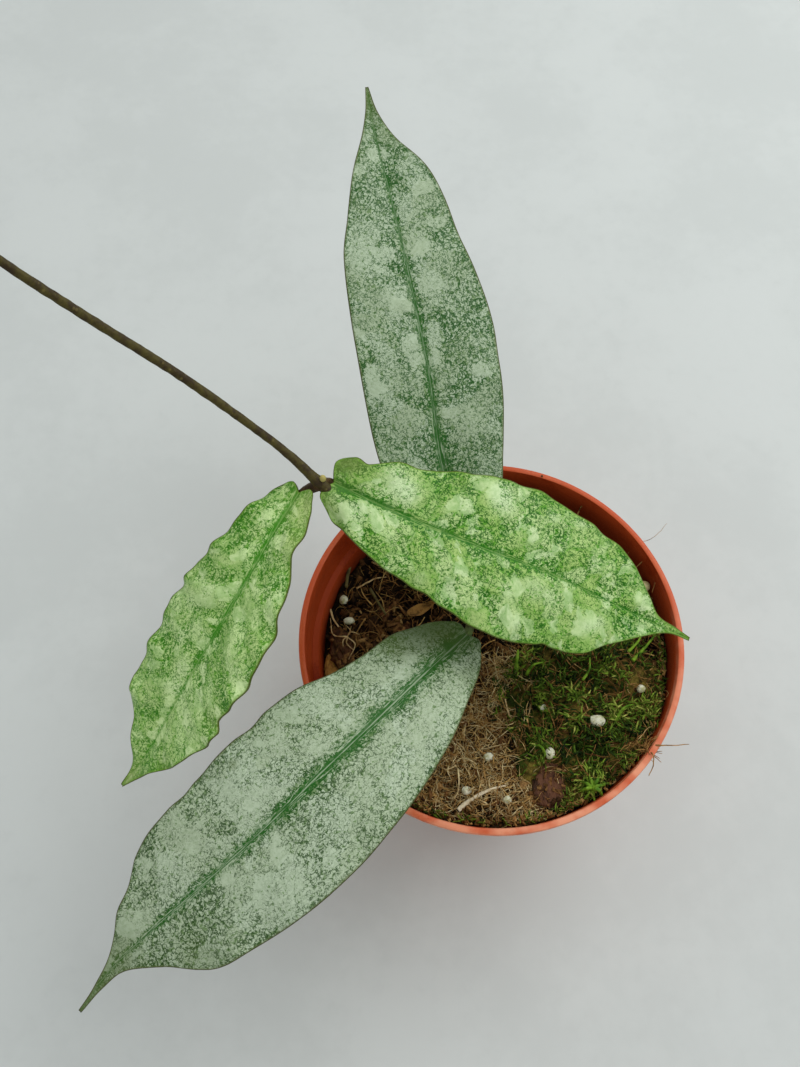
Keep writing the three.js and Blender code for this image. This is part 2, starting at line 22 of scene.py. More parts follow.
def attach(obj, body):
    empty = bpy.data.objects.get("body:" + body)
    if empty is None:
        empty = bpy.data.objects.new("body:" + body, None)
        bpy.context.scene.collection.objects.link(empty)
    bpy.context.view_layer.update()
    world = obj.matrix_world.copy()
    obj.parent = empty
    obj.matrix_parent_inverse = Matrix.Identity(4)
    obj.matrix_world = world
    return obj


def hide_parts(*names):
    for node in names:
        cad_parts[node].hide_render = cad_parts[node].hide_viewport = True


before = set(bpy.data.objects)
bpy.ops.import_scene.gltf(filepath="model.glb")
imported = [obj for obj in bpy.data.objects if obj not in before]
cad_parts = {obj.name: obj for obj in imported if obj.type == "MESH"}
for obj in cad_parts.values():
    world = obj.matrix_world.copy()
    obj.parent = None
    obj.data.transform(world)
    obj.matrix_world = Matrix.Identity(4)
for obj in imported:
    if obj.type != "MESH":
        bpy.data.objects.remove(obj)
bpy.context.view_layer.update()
print("solids in the frame:", len(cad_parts))

# %% [markdown]
# ## The camera
#
# The plant is seen from above and in front, as if it were held out at arm's length below the eyes.
# The camera looks down by 66 degrees. Its place and focal length follow from the ellipse of the
# pot's rim, whose true shape is a circle of known size.

# %% Camera
MM = 0.001
CAMERA_PLACE = (-28.4, -95.2, 393.4)
CAMERA_DOWN = 66.47
FOCAL_LENGTH = 33.74
NEAREST = 0.01

camera_data = bpy.data.cameras.new("camera")
camera_data.lens = FOCAL_LENGTH
camera_data.clip_start = NEAREST
camera = bpy.data.objects.new("camera", camera_data)
camera.location = Vector(CAMERA_PLACE) * MM
camera.rotation_euler = (math.radians(90 - CAMERA_DOWN), 0, 0)
bpy.context.scene.collection.objects.link(camera)
bpy.context.scene.camera = camera
print("camera height in millimetres:", CAMERA_PLACE[2])

# %% [markdown]
# ## Colours
#
# Colours are easiest to read off a screen, as three numbers from 0 to 255, but a shader works with
# amounts of light. One helper turns the first into the second.

# %% Screen colours as light
def screen(red, green, blue):
    """A colour as it shows on a screen, turned into the linear light that shaders use."""
    parts = []
    for value in (red, green, blue):
        share = value / 255
        parts.append(share / 12.92 if share <= 0.04045 else ((share + 0.055) / 1.055) ** 2.4)
    return (*parts, 1)


print("middle grey as light:", round(screen(128, 128, 128)[0], 3))

# %% [markdown]
# ## Soft daylight
#
# The plant stands near a window on an overcast day. A wide area light high on the right and behind
# plays the window, and a pale sky fills the shadows. The picture uses the plain display curve, so a
# colour shows as it was chosen.

# %% Light
SKY_COLOUR = screen(240, 242, 243)
SKY_STRENGTH = 0.74
WINDOW_PLACE = (520, 420, 900)
WINDOW_AIM = (-20, 10, 90)
WINDOW_SIZE = 800
WINDOW_POWER = 6

world = bpy.data.worlds.new("overcast_sky")
world.use_nodes = True
sky = world.node_tree.nodes["Background"]
sky.inputs["Color"].default_value = SKY_COLOUR
sky.inputs["Strength"].default_value = SKY_STRENGTH
bpy.context.scene.world = world
bpy.context.scene.view_settings.view_transform = "Standard"

window_data = bpy.data.lights.new("window", "AREA")
window_data.energy = WINDOW_POWER
window_data.size = WINDOW_SIZE * MM
window = bpy.data.objects.new("window", window_data)
window.location = Vector(WINDOW_PLACE) * MM
aim = (Vector(WINDOW_AIM) - Vector(WINDOW_PLACE)).normalized()
window.rotation_euler = aim.to_track_quat("-Z", "Y").to_euler()
bpy.context.scene.collection.objects.link(window)
print("window light, watts:", window_data.energy)

# %% [markdown]
# ## Small helpers for materials
#
# Every finish below is built from shader nodes. A few helpers keep that short: they add a node and
# join its inputs, do arithmetic, mix two colours, and ease a value from 0 to 1 between two limits.

# %% Helpers that add nodes
def add_node(tree, kind, settings=None, **inputs):
    """A node whose inputs take a number, a colour or another node's output."""
    node = tree.nodes.new(kind)
    for name, value in (settings or {}).items():
        setattr(node, name, value)
    for name, value in inputs.items():
        feed(tree, node.inputs[name.replace("_", " ")], value)
    return node


def feed(tree, socket, value):
    """Joins an output to a socket, or sets the socket to a plain value."""
    if isinstance(value, bpy.types.NodeSocket):
        tree.links.new(value, socket)
    else:
        socket.default_value = value


def sum_of(tree, operation, first, second=0.0, third=0.0):
    """One step of arithmetic, such as SUBTRACT, MAXIMUM or MULTIPLY_ADD."""
    node = tree.nodes.new("ShaderNodeMath")
    node.operation = operation
    for socket, value in zip(node.inputs, (first, second, third)):
        feed(tree, socket, value)
    return node.outputs[0]


def times(tree, first, second):
    return sum_of(tree, "MULTIPLY", first, second)


def plus(tree, first, second):
    return sum_of(tree, "ADD", first, second)


def mix(tree, share, first, second, way="MIX"):
    """Two colours mixed by a share from 0, all first, to 1, all second."""
    node = tree.nodes.new("ShaderNodeMix")
    node.data_type = "RGBA"
    node.blend_type = way
    feed(tree, node.inputs[0], share)
    feed(tree, node.inputs[6], first)
    feed(tree, node.inputs[7], second)
    return node.outputs[2]


def ease(tree, value, start, end):
    """0 where the value is at the start, 1 where it is at the end, and smooth between."""
    node = tree.nodes.new("ShaderNodeMapRange")
    node.interpolation_type = "SMOOTHSTEP"
    feed(tree, node.inputs["Value"], value)
    feed(tree, node.inputs["From Min"], start)
    feed(tree, node.inputs["From Max"], end)
    return node.outputs["Result"]


# %% Helpers for patterns
def cloud(tree, place, scale, detail=2.0, roughness=0.5):
    """Soft random clouds. The scale counts them in a metre."""
    return add_node(tree, "ShaderNodeTexNoise", None, Vector=place, Scale=scale, Detail=detail,
                    Roughness=roughness)


def new_material(name, roughness, gloss=0.5):
    """A material with its main shader, which keeps one roughness unless a pattern takes over."""
    material = bpy.data.materials.new(name)
    material.use_nodes = True
    shader = material.node_tree.nodes["Principled BSDF"]
    shader.inputs["Roughness"].default_value = roughness
    shader.inputs["Specular IOR Level"].default_value = gloss
    return material, material.node_tree, shader


def raise_surface(tree, shader, height, depth):
    """Lets a pattern raise the surface. The depth is the full relief in millimetres."""
    bump = add_node(tree, "ShaderNodeBump", None, Height=height, Distance=depth * MM, Strength=1.0)
    tree.links.new(bump.outputs["Normal"], shader.inputs["Normal"])


def new_group(name, inputs, outputs):
    """An empty group of nodes with named inputs, each with its usual value, and named outputs."""
    tree = bpy.data.node_groups.new(name, "ShaderNodeTree")
    for socket, (kind, usual) in inputs.items():
        made = tree.interface.new_socket(socket, in_out="INPUT", socket_type=kind)
        if usual is not None:
            made.default_value = usual
    for socket, kind in outputs.items():
        tree.interface.new_socket(socket, in_out="OUTPUT", socket_type=kind)
    return tree, tree.nodes.new("NodeGroupInput").outputs, tree.nodes.new("NodeGroupOutput").inputs


def place_group(tree, group, **inputs):
    """A group of nodes put into a material, with this material's own values."""
    node = tree.nodes.new("ShaderNodeGroup")
    node.node_tree = group
    for name, value in inputs.items():
        feed(tree, node.inputs[name.replace("_", " ")], value)
    return node.outputs


def object_place(tree):
    """The place on the piece itself, in metres, so that a pattern stays where it is."""
    return tree.nodes.new("ShaderNodeTexCoord").outputs["Object"]


print("node helpers are ready")

# %% [markdown]
# ## A group for uneven, natural surfaces
#
# Bark, stems, peat, old leaves and dusty plastic all share one effect: two colours that drift into
# each other in clouds, with a finer grain on top. The group makes that once. It can be stretched
# along one direction, for grain that runs lengthwise, by stretching the place that is fed to it.

# %% Mottle group
mottle, given, result = new_group(
    "mottle",
    {
        "Place": ("NodeSocketVector", None),
        "Scale": ("NodeSocketFloat", 100.0),
        "Grain Scale": ("NodeSocketFloat", 900.0),
        "Balance": ("NodeSocketFloat", 0.5),
        "First": ("NodeSocketColor", (0.5, 0.5, 0.5, 1)),
        "Second": ("NodeSocketColor", (0.2, 0.2, 0.2, 1)),
        "Grain Depth": ("NodeSocketFloat", 0.3),
    },
    {"Color": "NodeSocketColor", "Height": "NodeSocketFloat"},
)
drift = cloud(mottle, given["Place"], given["Scale"], detail=4.0, roughness=0.6).outputs["Fac"]
grain = cloud(mottle, given["Place"], given["Grain Scale"], detail=3.0, roughness=0.6).outputs["Fac"]
unevenness = plus(mottle, drift, sum_of(mottle, "MULTIPLY_ADD", grain, 0.3, -0.15))
low_end = sum_of(mottle, "SUBTRACT", given["Balance"], 0.12)
high_end = plus(mottle, given["Balance"], 0.12)
share = ease(mottle, unevenness, low_end, high_end)
colour = mix(mottle, share, given["First"], given["Second"])
darker = times(mottle, ease(mottle, grain, 0.6, 0.3), given["Grain Depth"])
colour = mix(mottle, darker, colour, (0.01, 0.008, 0.005, 1))
mottle.links.new(colour, result["Color"])
mottle.links.new(plus(mottle, times(mottle, drift, 0.5), grain), result["Height"])
print("mottle group has", len(mottle.nodes), "nodes")

# %% [markdown]
# ## The floor
#
# A plain pale board under the pot. It isn't part of the plant. Its colour drifts a little, as
# painted plaster does, because a perfectly even grey looks false.

# %% Floor
FLOOR_HALF = 2500

paint, tree, shader = new_material("pale_paint", 0.9, gloss=0.2)
drift = place_group(tree, mottle, Place=object_place(tree), Scale=9.0, Grain_Scale=160.0,
                    First=screen(205, 210, 207), Second=screen(199, 204, 201), Grain_Depth=0.01)
tree.links.new(drift["Color"], shader.inputs["Base Color"])

bm = bmesh.new()
bmesh.ops.create_grid(bm, x_segments=1, y_segments=1, size=FLOOR_HALF * MM)
floor_mesh = bpy.data.meshes.new("floor")
bm.to_mesh(floor_mesh)
bm.free()
floor_mesh.materials.append(paint)
floor = bpy.data.objects.new("floor", floor_mesh)
bpy.context.scene.collection.objects.link(floor)
print("floor made")

# %% [markdown]
# ## Finishing a piece
#
# Each piece is modelled in a bmesh, Blender's editable mesh, in millimetres. This helper scales it
# to metres, makes it an object, lets it ride on the frame and hides the plain solid that it stands
# for.

# %% Finish a piece
def finish_piece(name, bm, materials, nodes=(), sharp=None):
    """Turns a bmesh in millimetres into a finished object of the plant."""
    bmesh.ops.scale(bm, vec=(MM, MM, MM), verts=bm.verts)
    for face in bm.faces:
        face.smooth = True
    mesh = bpy.data.meshes.new(name)
    bm.to_mesh(mesh)
    bm.free()
    for material in materials:
        mesh.materials.append(material)
    if sharp is not None:
        mesh.set_sharp_from_angle(angle=math.radians(sharp))
    piece = bpy.data.objects.new(name, mesh)
    bpy.context.scene.collection.objects.link(piece)
    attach(piece, "root")
    if nodes:
        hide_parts(*nodes)
    mesh.calc_loop_triangles()
    print(f"{name}: {len(mesh.loop_triangles)} triangles")


def clamp(value):
    """The value, held between 0 and 1."""
    return min(max(value, 0), 1)


def add_mesh_of(bm, other):
    """Adds a second bmesh to the first, and empties the second."""
    mesh = bpy.data.meshes.new("part")
    other.to_mesh(mesh)
    other.free()
    bm.from_mesh(mesh)
    bpy.data.meshes.remove(mesh)


# %% [markdown]
# ## Smooth lines and tubes
#
# A midrib, the vine, a root and a twig each follow a smooth line through a few points. The line here
# is a Catmull-Rom line, which passes through all its points, and it is measured along its length, so
# that equal steps lie equally far apart. A tube is a capped ring that is extruded step by step along
# such a line: each extrusion copies the end cap, and a transform carries the copy to its next place.

# %% Smooth lines
LINE_PARTS = 200


class SmoothLine:
    """A line through points, with places given as shares of its length."""

    def __init__(self, points):
        inner = [Vector(point) for point in points]
        self.points = [inner[0] * 2 - inner[1], *inner, inner[-1] * 2 - inner[-2]]
        self.spans = len(inner) - 1
        places = [self.place(part / LINE_PARTS) for part in range(LINE_PARTS + 1)]
        self.lengths = [0.0]
        for before, after in zip(places, places[1:]):
            self.lengths.append(self.lengths[-1] + (after - before).length)
        self.length = self.lengths[-1]

    def place(self, t):
        """The point at t, which runs from 0 to 1 and gives every span the same part."""
        span = min(int(t * self.spans), self.spans - 1)
        u = t * self.spans - span
        before, start, end, after = self.points[span:span + 4]
        leave = (end - before) / 2
        arrive = (after - start) / 2
        return (start * (2 * u ** 3 - 3 * u ** 2 + 1) + leave * (u ** 3 - 2 * u ** 2 + u)
                + end * (3 * u ** 2 - 2 * u ** 3) + arrive * (u ** 3 - u ** 2))

    def parameter(self, share):
        """The t that lies at this share of the length."""
        wanted = clamp(share) * self.length
        part = min(max(bisect.bisect_right(self.lengths, wanted) - 1, 0), LINE_PARTS - 1)
        inside = (wanted - self.lengths[part]) / (self.lengths[part + 1] - self.lengths[part])
        return (part + inside) / LINE_PARTS

    def at(self, share):
        return self.place(self.parameter(share))

    def ahead(self, share):
        """The direction of the line, as a unit vector."""
        t = self.parameter(share)
        return (self.place(min(t + 1e-4, 1.0)) - self.place(max(t - 1e-4, 0.0))).normalized()


# %% Tubes
def rings_along(line, radius_at, steps):
    """One matrix a step, which carries a unit circle to the tube's ring there."""
    rings = []
    across = line.ahead(0).orthogonal()
    for step in range(steps + 1):
        share = step / steps
        ahead = line.ahead(share)
        across = (across - ahead * across.dot(ahead)).normalized()
        radius = radius_at(share)
        turned = Matrix((across * radius, ahead.cross(across) * radius, ahead)).transposed().to_4x4()
        rings.append(Matrix.Translation(line.at(share)) @ turned)
    return rings


def add_tube(bm, line, radius_at, steps, sides):
    """Extrudes a capped ring along a line, and gives back the tube's vertices."""
    rings = rings_along(line, radius_at, steps)
    ring = bmesh.ops.create_circle(bm, cap_ends=True, radius=1, segments=sides, matrix=rings[0])
    made = list(ring["verts"])
    cap = made[0].link_faces[0]
    for before, after in zip(rings, rings[1:]):
        copied = bmesh.ops.extrude_face_region(bm, geom=[cap])["geom"]
        cap = next(part for part in copied if isinstance(part, bmesh.types.BMFace))
        bmesh.ops.transform(bm, matrix=after @ before.inverted(), verts=cap.verts)
        made.extend(cap.verts)
    return made


print("a line through three points is", round(SmoothLine([(0, 0, 0), (5, 1, 0), (9, 0, 0)]).length, 2))

# %% [markdown]
# ## The nursery pot
#
# The pot is moulded from thin terracotta-coloured plastic: a tapered wall, a step out to a taller
# collar, and a flat lip. It is a body of revolution, so its profile is drawn once and spun. The
# eight drain holes are then cut through its floor.

# %% Pot dimensions
POT_HEIGHT = 95
RIM_RADIUS = 60
LIP_WIDTH = 2
BASE_RADIUS = 41.5
WALL = 1.3
FLOOR_THICKNESS = 2
COLLAR_HEIGHT = 12
COLLAR_STEP = 2.4
COLLAR_TAPER = 1.2
POT_STEPS = 160
DRAIN_HOLES = 8
DRAIN_RADIUS = 3.5
DRAIN_CIRCLE = 27

LEDGE = POT_HEIGHT - COLLAR_HEIGHT
INSIDE_FLOOR = BASE_RADIUS - WALL
UNDER_LEDGE = RIM_RADIUS - LIP_WIDTH - COLLAR_TAPER - COLLAR_STEP
OVER_LEDGE = RIM_RADIUS - LIP_WIDTH - COLLAR_TAPER
INSIDE_LIP = RIM_RADIUS - LIP_WIDTH


def inside_radius(height):
    """How far the pot's inner wall is from the axis at this height."""
    if height < LEDGE:
        share = (height - FLOOR_THICKNESS) / (LEDGE - FLOOR_THICKNESS)
        return INSIDE_FLOOR + (UNDER_LEDGE - INSIDE_FLOOR) * share
    share = clamp((height - LEDGE - 1) / (POT_HEIGHT - LEDGE - 1))
    return OVER_LEDGE + (INSIDE_LIP - OVER_LEDGE) * share


# %% Pot profile
POT_OUTSIDE = [
    (0, 0), (BASE_RADIUS - 5, 0), (BASE_RADIUS - 0.9, 0), (BASE_RADIUS - 0.25, 0.25), (BASE_RADIUS, 0.9),
    (UNDER_LEDGE + WALL - 0.15, LEDGE - 2.2), (UNDER_LEDGE + WALL, LEDGE - 1.3),
    (OVER_LEDGE + WALL - 0.4, LEDGE - 0.7), (OVER_LEDGE + WALL, LEDGE - 0.2),
    (OVER_LEDGE + WALL + 0.05, LEDGE + 0.4), (INSIDE_LIP + 0.2, POT_HEIGHT - 2.6),
    (INSIDE_LIP + 0.6, POT_HEIGHT - 2.1), (RIM_RADIUS - 0.3, POT_HEIGHT - 2),
    (RIM_RADIUS, POT_HEIGHT - 1.7), (RIM_RADIUS, POT_HEIGHT - 0.6), (RIM_RADIUS - 0.2, POT_HEIGHT - 0.15),
    (RIM_RADIUS - 0.6, POT_HEIGHT),
]
POT_INSIDE = [
    (INSIDE_LIP + 0.5, POT_HEIGHT), (INSIDE_LIP + 0.15, POT_HEIGHT - 0.15),
    (INSIDE_LIP - 0.1, POT_HEIGHT - 0.6), (INSIDE_LIP - 0.5, POT_HEIGHT - 5),
    (OVER_LEDGE, LEDGE + 1), (OVER_LEDGE - 0.2, LEDGE + 0.3), (UNDER_LEDGE + 0.4, LEDGE),
    (UNDER_LEDGE, LEDGE - 0.4), (INSIDE_FLOOR, FLOOR_THICKNESS + 0.6),
    (INSIDE_FLOOR - 0.6, FLOOR_THICKNESS), (0, FLOOR_THICKNESS),
]


def spin_profile(bm, profile, steps):
    """Spins a profile of radii and heights once round the upright axis into a closed skin."""
    points = [bm.verts.new((radius, 0, height)) for radius, height in profile]
    edges = [bm.edges.new(pair) for pair in zip(points, points[1:])]
    bmesh.ops.spin(bm, geom=points + edges, cent=(0, 0, 0), axis=(0, 0, 1), angle=2 * math.pi,
                   steps=steps, use_merge=True)
    bmesh.ops.remove_doubles(bm, verts=bm.verts, dist=1e-4)
    bmesh.ops.recalc_face_normals(bm, faces=bm.faces)


# %% Drill the drain holes
def apply_modifiers(mesh_object):
    """The mesh as its modifiers leave it, as a new bmesh in millimetres."""
    shaped = mesh_object.evaluated_get(bpy.context.evaluated_depsgraph_get())
    bm = bmesh.new()
    bm.from_mesh(shaped.to_mesh())
    shaped.to_mesh_clear()
    return bm


def helper_object(name, bm):
    """A bmesh as a plain object that serves as a tool and is removed after use."""
    mesh = bpy.data.meshes.new(name)
    bm.to_mesh(mesh)
    bm.free()
    made = bpy.data.objects.new(name, mesh)
    bpy.context.scene.collection.objects.link(made)
    return made


bm = bmesh.new()
spin_profile(bm, POT_OUTSIDE + POT_INSIDE, POT_STEPS)
blank = helper_object("pot_blank", bm)

bm = bmesh.new()
for hole in range(DRAIN_HOLES):
    angle = 2 * math.pi * hole / DRAIN_HOLES
    centre = Vector((math.cos(angle), math.sin(angle), 0)) * DRAIN_CIRCLE
    bmesh.ops.create_cone(bm, cap_ends=True, segments=32, radius1=DRAIN_RADIUS, radius2=DRAIN_RADIUS,
                          depth=FLOOR_THICKNESS * 4, matrix=Matrix.Translation(centre))
drills = helper_object("drills", bm)
cut = blank.modifiers.new("drain_holes", "BOOLEAN")
cut.operation = "DIFFERENCE"
cut.solver = "EXACT"
cut.object = drills
pot_bm = apply_modifiers(blank)
bpy.data.objects.remove(blank)
bpy.data.objects.remove(drills)
print("pot faces after drilling:", len(pot_bm.faces))

# %% [markdown]
# The plastic has a soft sheen, duller on the inside. Handling has left fine scratches on it, and
# water from the soil has left dark stains and splashed peat on the inside. The inside is painted
# deeper in colour, because light that enters the pot is tinted again at each bounce, and a painted
# shade darkens its wall low down, most on the right and at the back. A painted highlight makes the
# lip pale at the front and on the right.

# %% Plastic of the pot
TERRACOTTA = screen(196, 82, 40)
TERRACOTTA_WORN = screen(206, 100, 60)
# The colour of the painted highlight on the lip.
TERRACOTTA_PAINTED_HIGHLIGHT = screen(234, 158, 122)
TERRACOTTA_INSIDE = screen(176, 70, 32)
TERRACOTTA_WET = screen(136, 42, 14)
# The colour of the painted shade low on the inner wall.
TERRACOTTA_PAINTED_SHADE = screen(96, 34, 14)
PEAT_STAIN = screen(52, 30, 16)
# The heights between which a stain fades. The outside's lie under the pot, so it has none.
OUTSIDE_STAIN = (-60, -40)
INSIDE_STAIN = (66, 81)
# How much of the painted highlight the lip takes.
LIP_PAINTED_HIGHLIGHT = 0.85
# How much of that painted shade the inner wall takes.
PAINTED_SHADE_SHARE = 0.9


def terracotta(name, clean, marked, stain, gloss, depth):
    """Moulded plastic: drifting colour, fine scratches, a stain from below, painted highlight and shade."""
    material, tree, shader = new_material(name, 0.42, gloss=gloss)
    place = object_place(tree)
    body = place_group(tree, mottle, Place=place, Scale=38.0, Grain_Scale=1400.0, Balance=0.56,
                       First=clean, Second=marked, Grain_Depth=0.05)
    x, y, height = add_node(tree, "ShaderNodeSeparateXYZ", None, Vector=place).outputs
    # A painted highlight: the lip is made paler at the front and on the right, in patches.
    facing = ease(tree, sum_of(tree, "SUBTRACT", times(tree, x, 0.5), y), 0.0, 0.07)
    facing = times(tree, facing, ease(tree, cloud(tree, place, 130.0).outputs["Fac"], 0.25, 0.55))
    on_lip = ease(tree, height, (POT_HEIGHT - 3) * MM, (POT_HEIGHT - 1.5) * MM)
    painted_highlight = times(tree, times(tree, facing, on_lip), LIP_PAINTED_HIGHLIGHT)
    edge = cloud(tree, place, 90.0, detail=5.0, roughness=0.7).outputs["Fac"]
    risen = plus(tree, height, sum_of(tree, "MULTIPLY_ADD", edge, 0.016, -0.008))
    stained = ease(tree, risen, stain[1] * MM, stain[0] * MM)
    splashes = ease(tree, cloud(tree, place, 520.0, detail=3.0, roughness=0.7).outputs["Fac"], 0.62, 0.7)
    soiled = sum_of(tree, "MAXIMUM", times(tree, stained, 0.6),
                    times(tree, splashes, plus(tree, stained, 0.1)))
    colour = mix(tree, painted_highlight, body["Color"], TERRACOTTA_PAINTED_HIGHLIGHT)
    # Painted shade darkens the inner wall downwards, from the ledge on the left and from the lip at the
    # right and back.
    shaded = ease(tree, plus(tree, x, y), 0.0, 0.05)
    above = sum_of(tree, "SUBTRACT", height, sum_of(tree, "MULTIPLY_ADD", shaded, 9 * MM, LEDGE * MM))
    painted_shade = times(tree, ease(tree, above, 3 * MM, -7 * MM), depth)
    colour = mix(tree, painted_shade, colour, TERRACOTTA_PAINTED_SHADE)
    colour = mix(tree, soiled, colour, PEAT_STAIN)
    tree.links.new(colour, shader.inputs["Base Color"])
    tree.links.new(ease(tree, soiled, -1.0, 1.4), shader.inputs["Roughness"])
    scratch_place = add_node(tree, "ShaderNodeMapping", None, Vector=place, Scale=(1.0, 1.0, 14.0))
    scratches = cloud(tree, scratch_place.outputs["Vector"], 160.0, detail=6.0, roughness=0.75)
    raise_surface(tree, shader, scratches.outputs["Fac"], 0.12)
    return material


pot_outside = terracotta("terracotta_outside", TERRACOTTA, TERRACOTTA_WORN, OUTSIDE_STAIN, 0.22, 0.0)
pot_inside = terracotta("terracotta_inside", TERRACOTTA_INSIDE, TERRACOTTA_WET, INSIDE_STAIN, 0.06,
                        PAINTED_SHADE_SHARE)

for face in pot_bm.faces:
    centre = face.calc_center_median()
    out = math.hypot(centre.x, centre.y)
    within = centre.z > FLOOR_THICKNESS - 0.5 and out < inside_radius(centre.z) + WALL * 0.4
    face.material_index = 1 if within and centre.z < POT_HEIGHT - 0.1 else 0
finish_piece("nursery_pot", pot_bm, [pot_outside, pot_inside], ["pot"], sharp=35)

# %% [markdown]
# ## The leaf's shape
#
# A leaf is a sheet whose shape one formula gives. The midrib is a smooth line through the air. At
# each share of it the blade has a left and a right half-width, tilts, rises as a shallow keel, bends
# down again at its margins, and swells between its side veins. A grid is laid out flat, and every
# vertex of it is carried to its place on the blade.

# %% Leaf dimensions shared with the solids
LOWER_NODE = (-6, 4.5, 105)
UPPER_NODE = (-50, 25.5, 150)
STATIONS = [0, 0.04, 0.1, 0.2, 0.35, 0.5, 0.65, 0.73, 0.8, 0.88, 0.94, 1]
WIDE = 22
LOBE_SHARE = 0.12
PUCKER_SWEEP = 0.12
LEFT_PHASE = 0.9
RIGHT_PHASE = 2.3
CALM_WIDTH = 8
BLADE_MIDDLE = 1.3
BLADE_EDGE = 0.5
RIB_START = 1.4
RIB_END = 0.5
RIB_REACH = 0.86

LEAVES = {
    "leaf_back": dict(
        grows=LOWER_NODE, slot="mature_leaf",
        midrib=[(-5, 14.5, 107.5), (-15, 44.5, 120), (-19.5, 72, 132), (-25, 98, 142),
                (-31, 124, 150), (-35.5, 141, 155), (-39, 162.5, 158)],
        left=[5.5, 9.5, 13, 17.5, 20.5, 20.6, 18.7, 14.8, 11, 4.8, 1.9, 0.5],
        right=[5.5, 9.5, 13.5, 18.5, 22, 22.3, 18.2, 16.3, 13.3, 5.9, 2, 0.5],
        tilt=(0, 0, 0), keel=0.08, droop=1.5, lobe=1, ripple=0.5, ripples=5, pucker=0.15, puckers=8,
    ),
    "leaf_front": dict(
        grows=LOWER_NODE, slot="mature_leaf",
        midrib=[(-8.5, -4.5, 111), (-25.5, -23, 120), (-48.5, -46.5, 124), (-68, -64.5, 119),
                (-91, -82.5, 107), (-107, -95, 96), (-117, -106, 87)],
        left=[6, 10.2, 13.6, 19, 23.3, 24.1, 21.3, 18.4, 9.6, 3.4, 1.4, 0.5],
        right=[6.2, 11, 14.5, 16.6, 23, 23.6, 22, 19.4, 12.4, 3.1, 0.8, 0.5],
        tilt=(0, 0, 0), keel=0.06, droop=3, lobe=1, ripple=0.7, ripples=6, pucker=0.2, puckers=9,
    ),
    "leaf_right": dict(
        grows=UPPER_NODE, slot="young_leaf",
        midrib=[(-46.5, 26.5, 149), (-31.5, 20, 146), (-7, 12.5, 138), (15.5, 7, 129),
                (41, -1.5, 118), (56.5, -6.5, 112)],
        left=[7, 9, 12.5, 14.7, 20.4, 22, 18.7, 16.8, 13.3, 6.1, 2.2, 0.5],
        right=[6, 9.2, 12.5, 16.2, 19.8, 22.4, 19.5, 17.6, 11.2, 4.6, 1, 0.5],
        tilt=(-8, -10, -8), keel=0.1, droop=4, lobe=2, ripple=0.8, ripples=8, pucker=0.9, puckers=9,
    ),
    "leaf_left": dict(
        grows=UPPER_NODE, slot="young_leaf",
        midrib=[(-56, 23.5, 149), (-63.5, 11, 146), (-74.5, -5, 136), (-88, -21, 120),
                (-101, -37, 103), (-110.5, -45.5, 93)],
        left=[6, 7.8, 9.5, 13.4, 18.3, 19.5, 18.6, 14.8, 11.6, 5.8, 2.9, 0.5],
        right=[4.7, 8, 10.5, 13.3, 17.8, 19.6, 17.4, 17.2, 13.9, 5.9, 1.4, 0.5],
        tilt=(-14, -18, -14), keel=0.25, droop=5, lobe=2, ripple=0.8, ripples=8, pucker=0.9, puckers=9,
    ),
}


# %% Places on a blade
def through(values, share):
    """A half-width between the stations, on a smooth curve through the chosen values."""
    last = len(STATIONS) - 1
    i = min(bisect.bisect_left(STATIONS, share, 1, last) - 1, last - 1)

    def slope(k):
        before, after = max(k - 1, 0), min(k + 1, last)
        return (values[after] - values[before]) / (STATIONS[after] - STATIONS[before])

    span = STATIONS[i + 1] - STATIONS[i]
    t = (share - STATIONS[i]) / span
    return (values[i] * (2 * t ** 3 - 3 * t ** 2 + 1) + slope(i) * span * (t ** 3 - 2 * t ** 2 + t)
            + values[i + 1] * (3 * t ** 2 - 2 * t ** 3) + slope(i + 1) * span * (t ** 3 - t ** 2))


def midrib_frame(leaf, share):
    """Centre, forward, side and up directions at a share of the midrib."""
    ahead = leaf["line"].ahead(share)
    side = ahead.cross(Vector((0, 0, 1))).normalized()
    up = side.cross(ahead)
    base, middle, tip = leaf["tilt"]
    if share < 0.5:
        tilt = base + (middle - base) * share * 2
    else:
        tilt = middle + (tip - middle) * (share * 2 - 1)
    turn = math.radians(tilt)
    side = side * math.cos(turn) + up * math.sin(turn)
    return leaf["line"].at(share), ahead, side, side.cross(ahead)


def swelling(leaf, share, across):
    """How far the blade has swelled up between two side veins, from 0 in a vein to 1."""
    reach = abs(across)
    phase = LEFT_PHASE if across < 0 else RIGHT_PHASE
    return abs(math.sin(math.pi * leaf["puckers"] * (share - PUCKER_SWEEP * reach) + phase))


def half_width(leaf, share, across):
    """The blade's half-width on one side, less the small notches of that margin."""
    side = -1 if across < 0 else 1
    width = through(leaf["left"] if side < 0 else leaf["right"], share)
    for notched, start, deepest, end, depth in leaf["notches"]:
        if notched == side and start < share < end:
            t = (share - start) / (deepest - start) if share < deepest else (end - share) / (end - deepest)
            width -= depth * t * t * (3 - 2 * t)
    return max(width, 0.3)


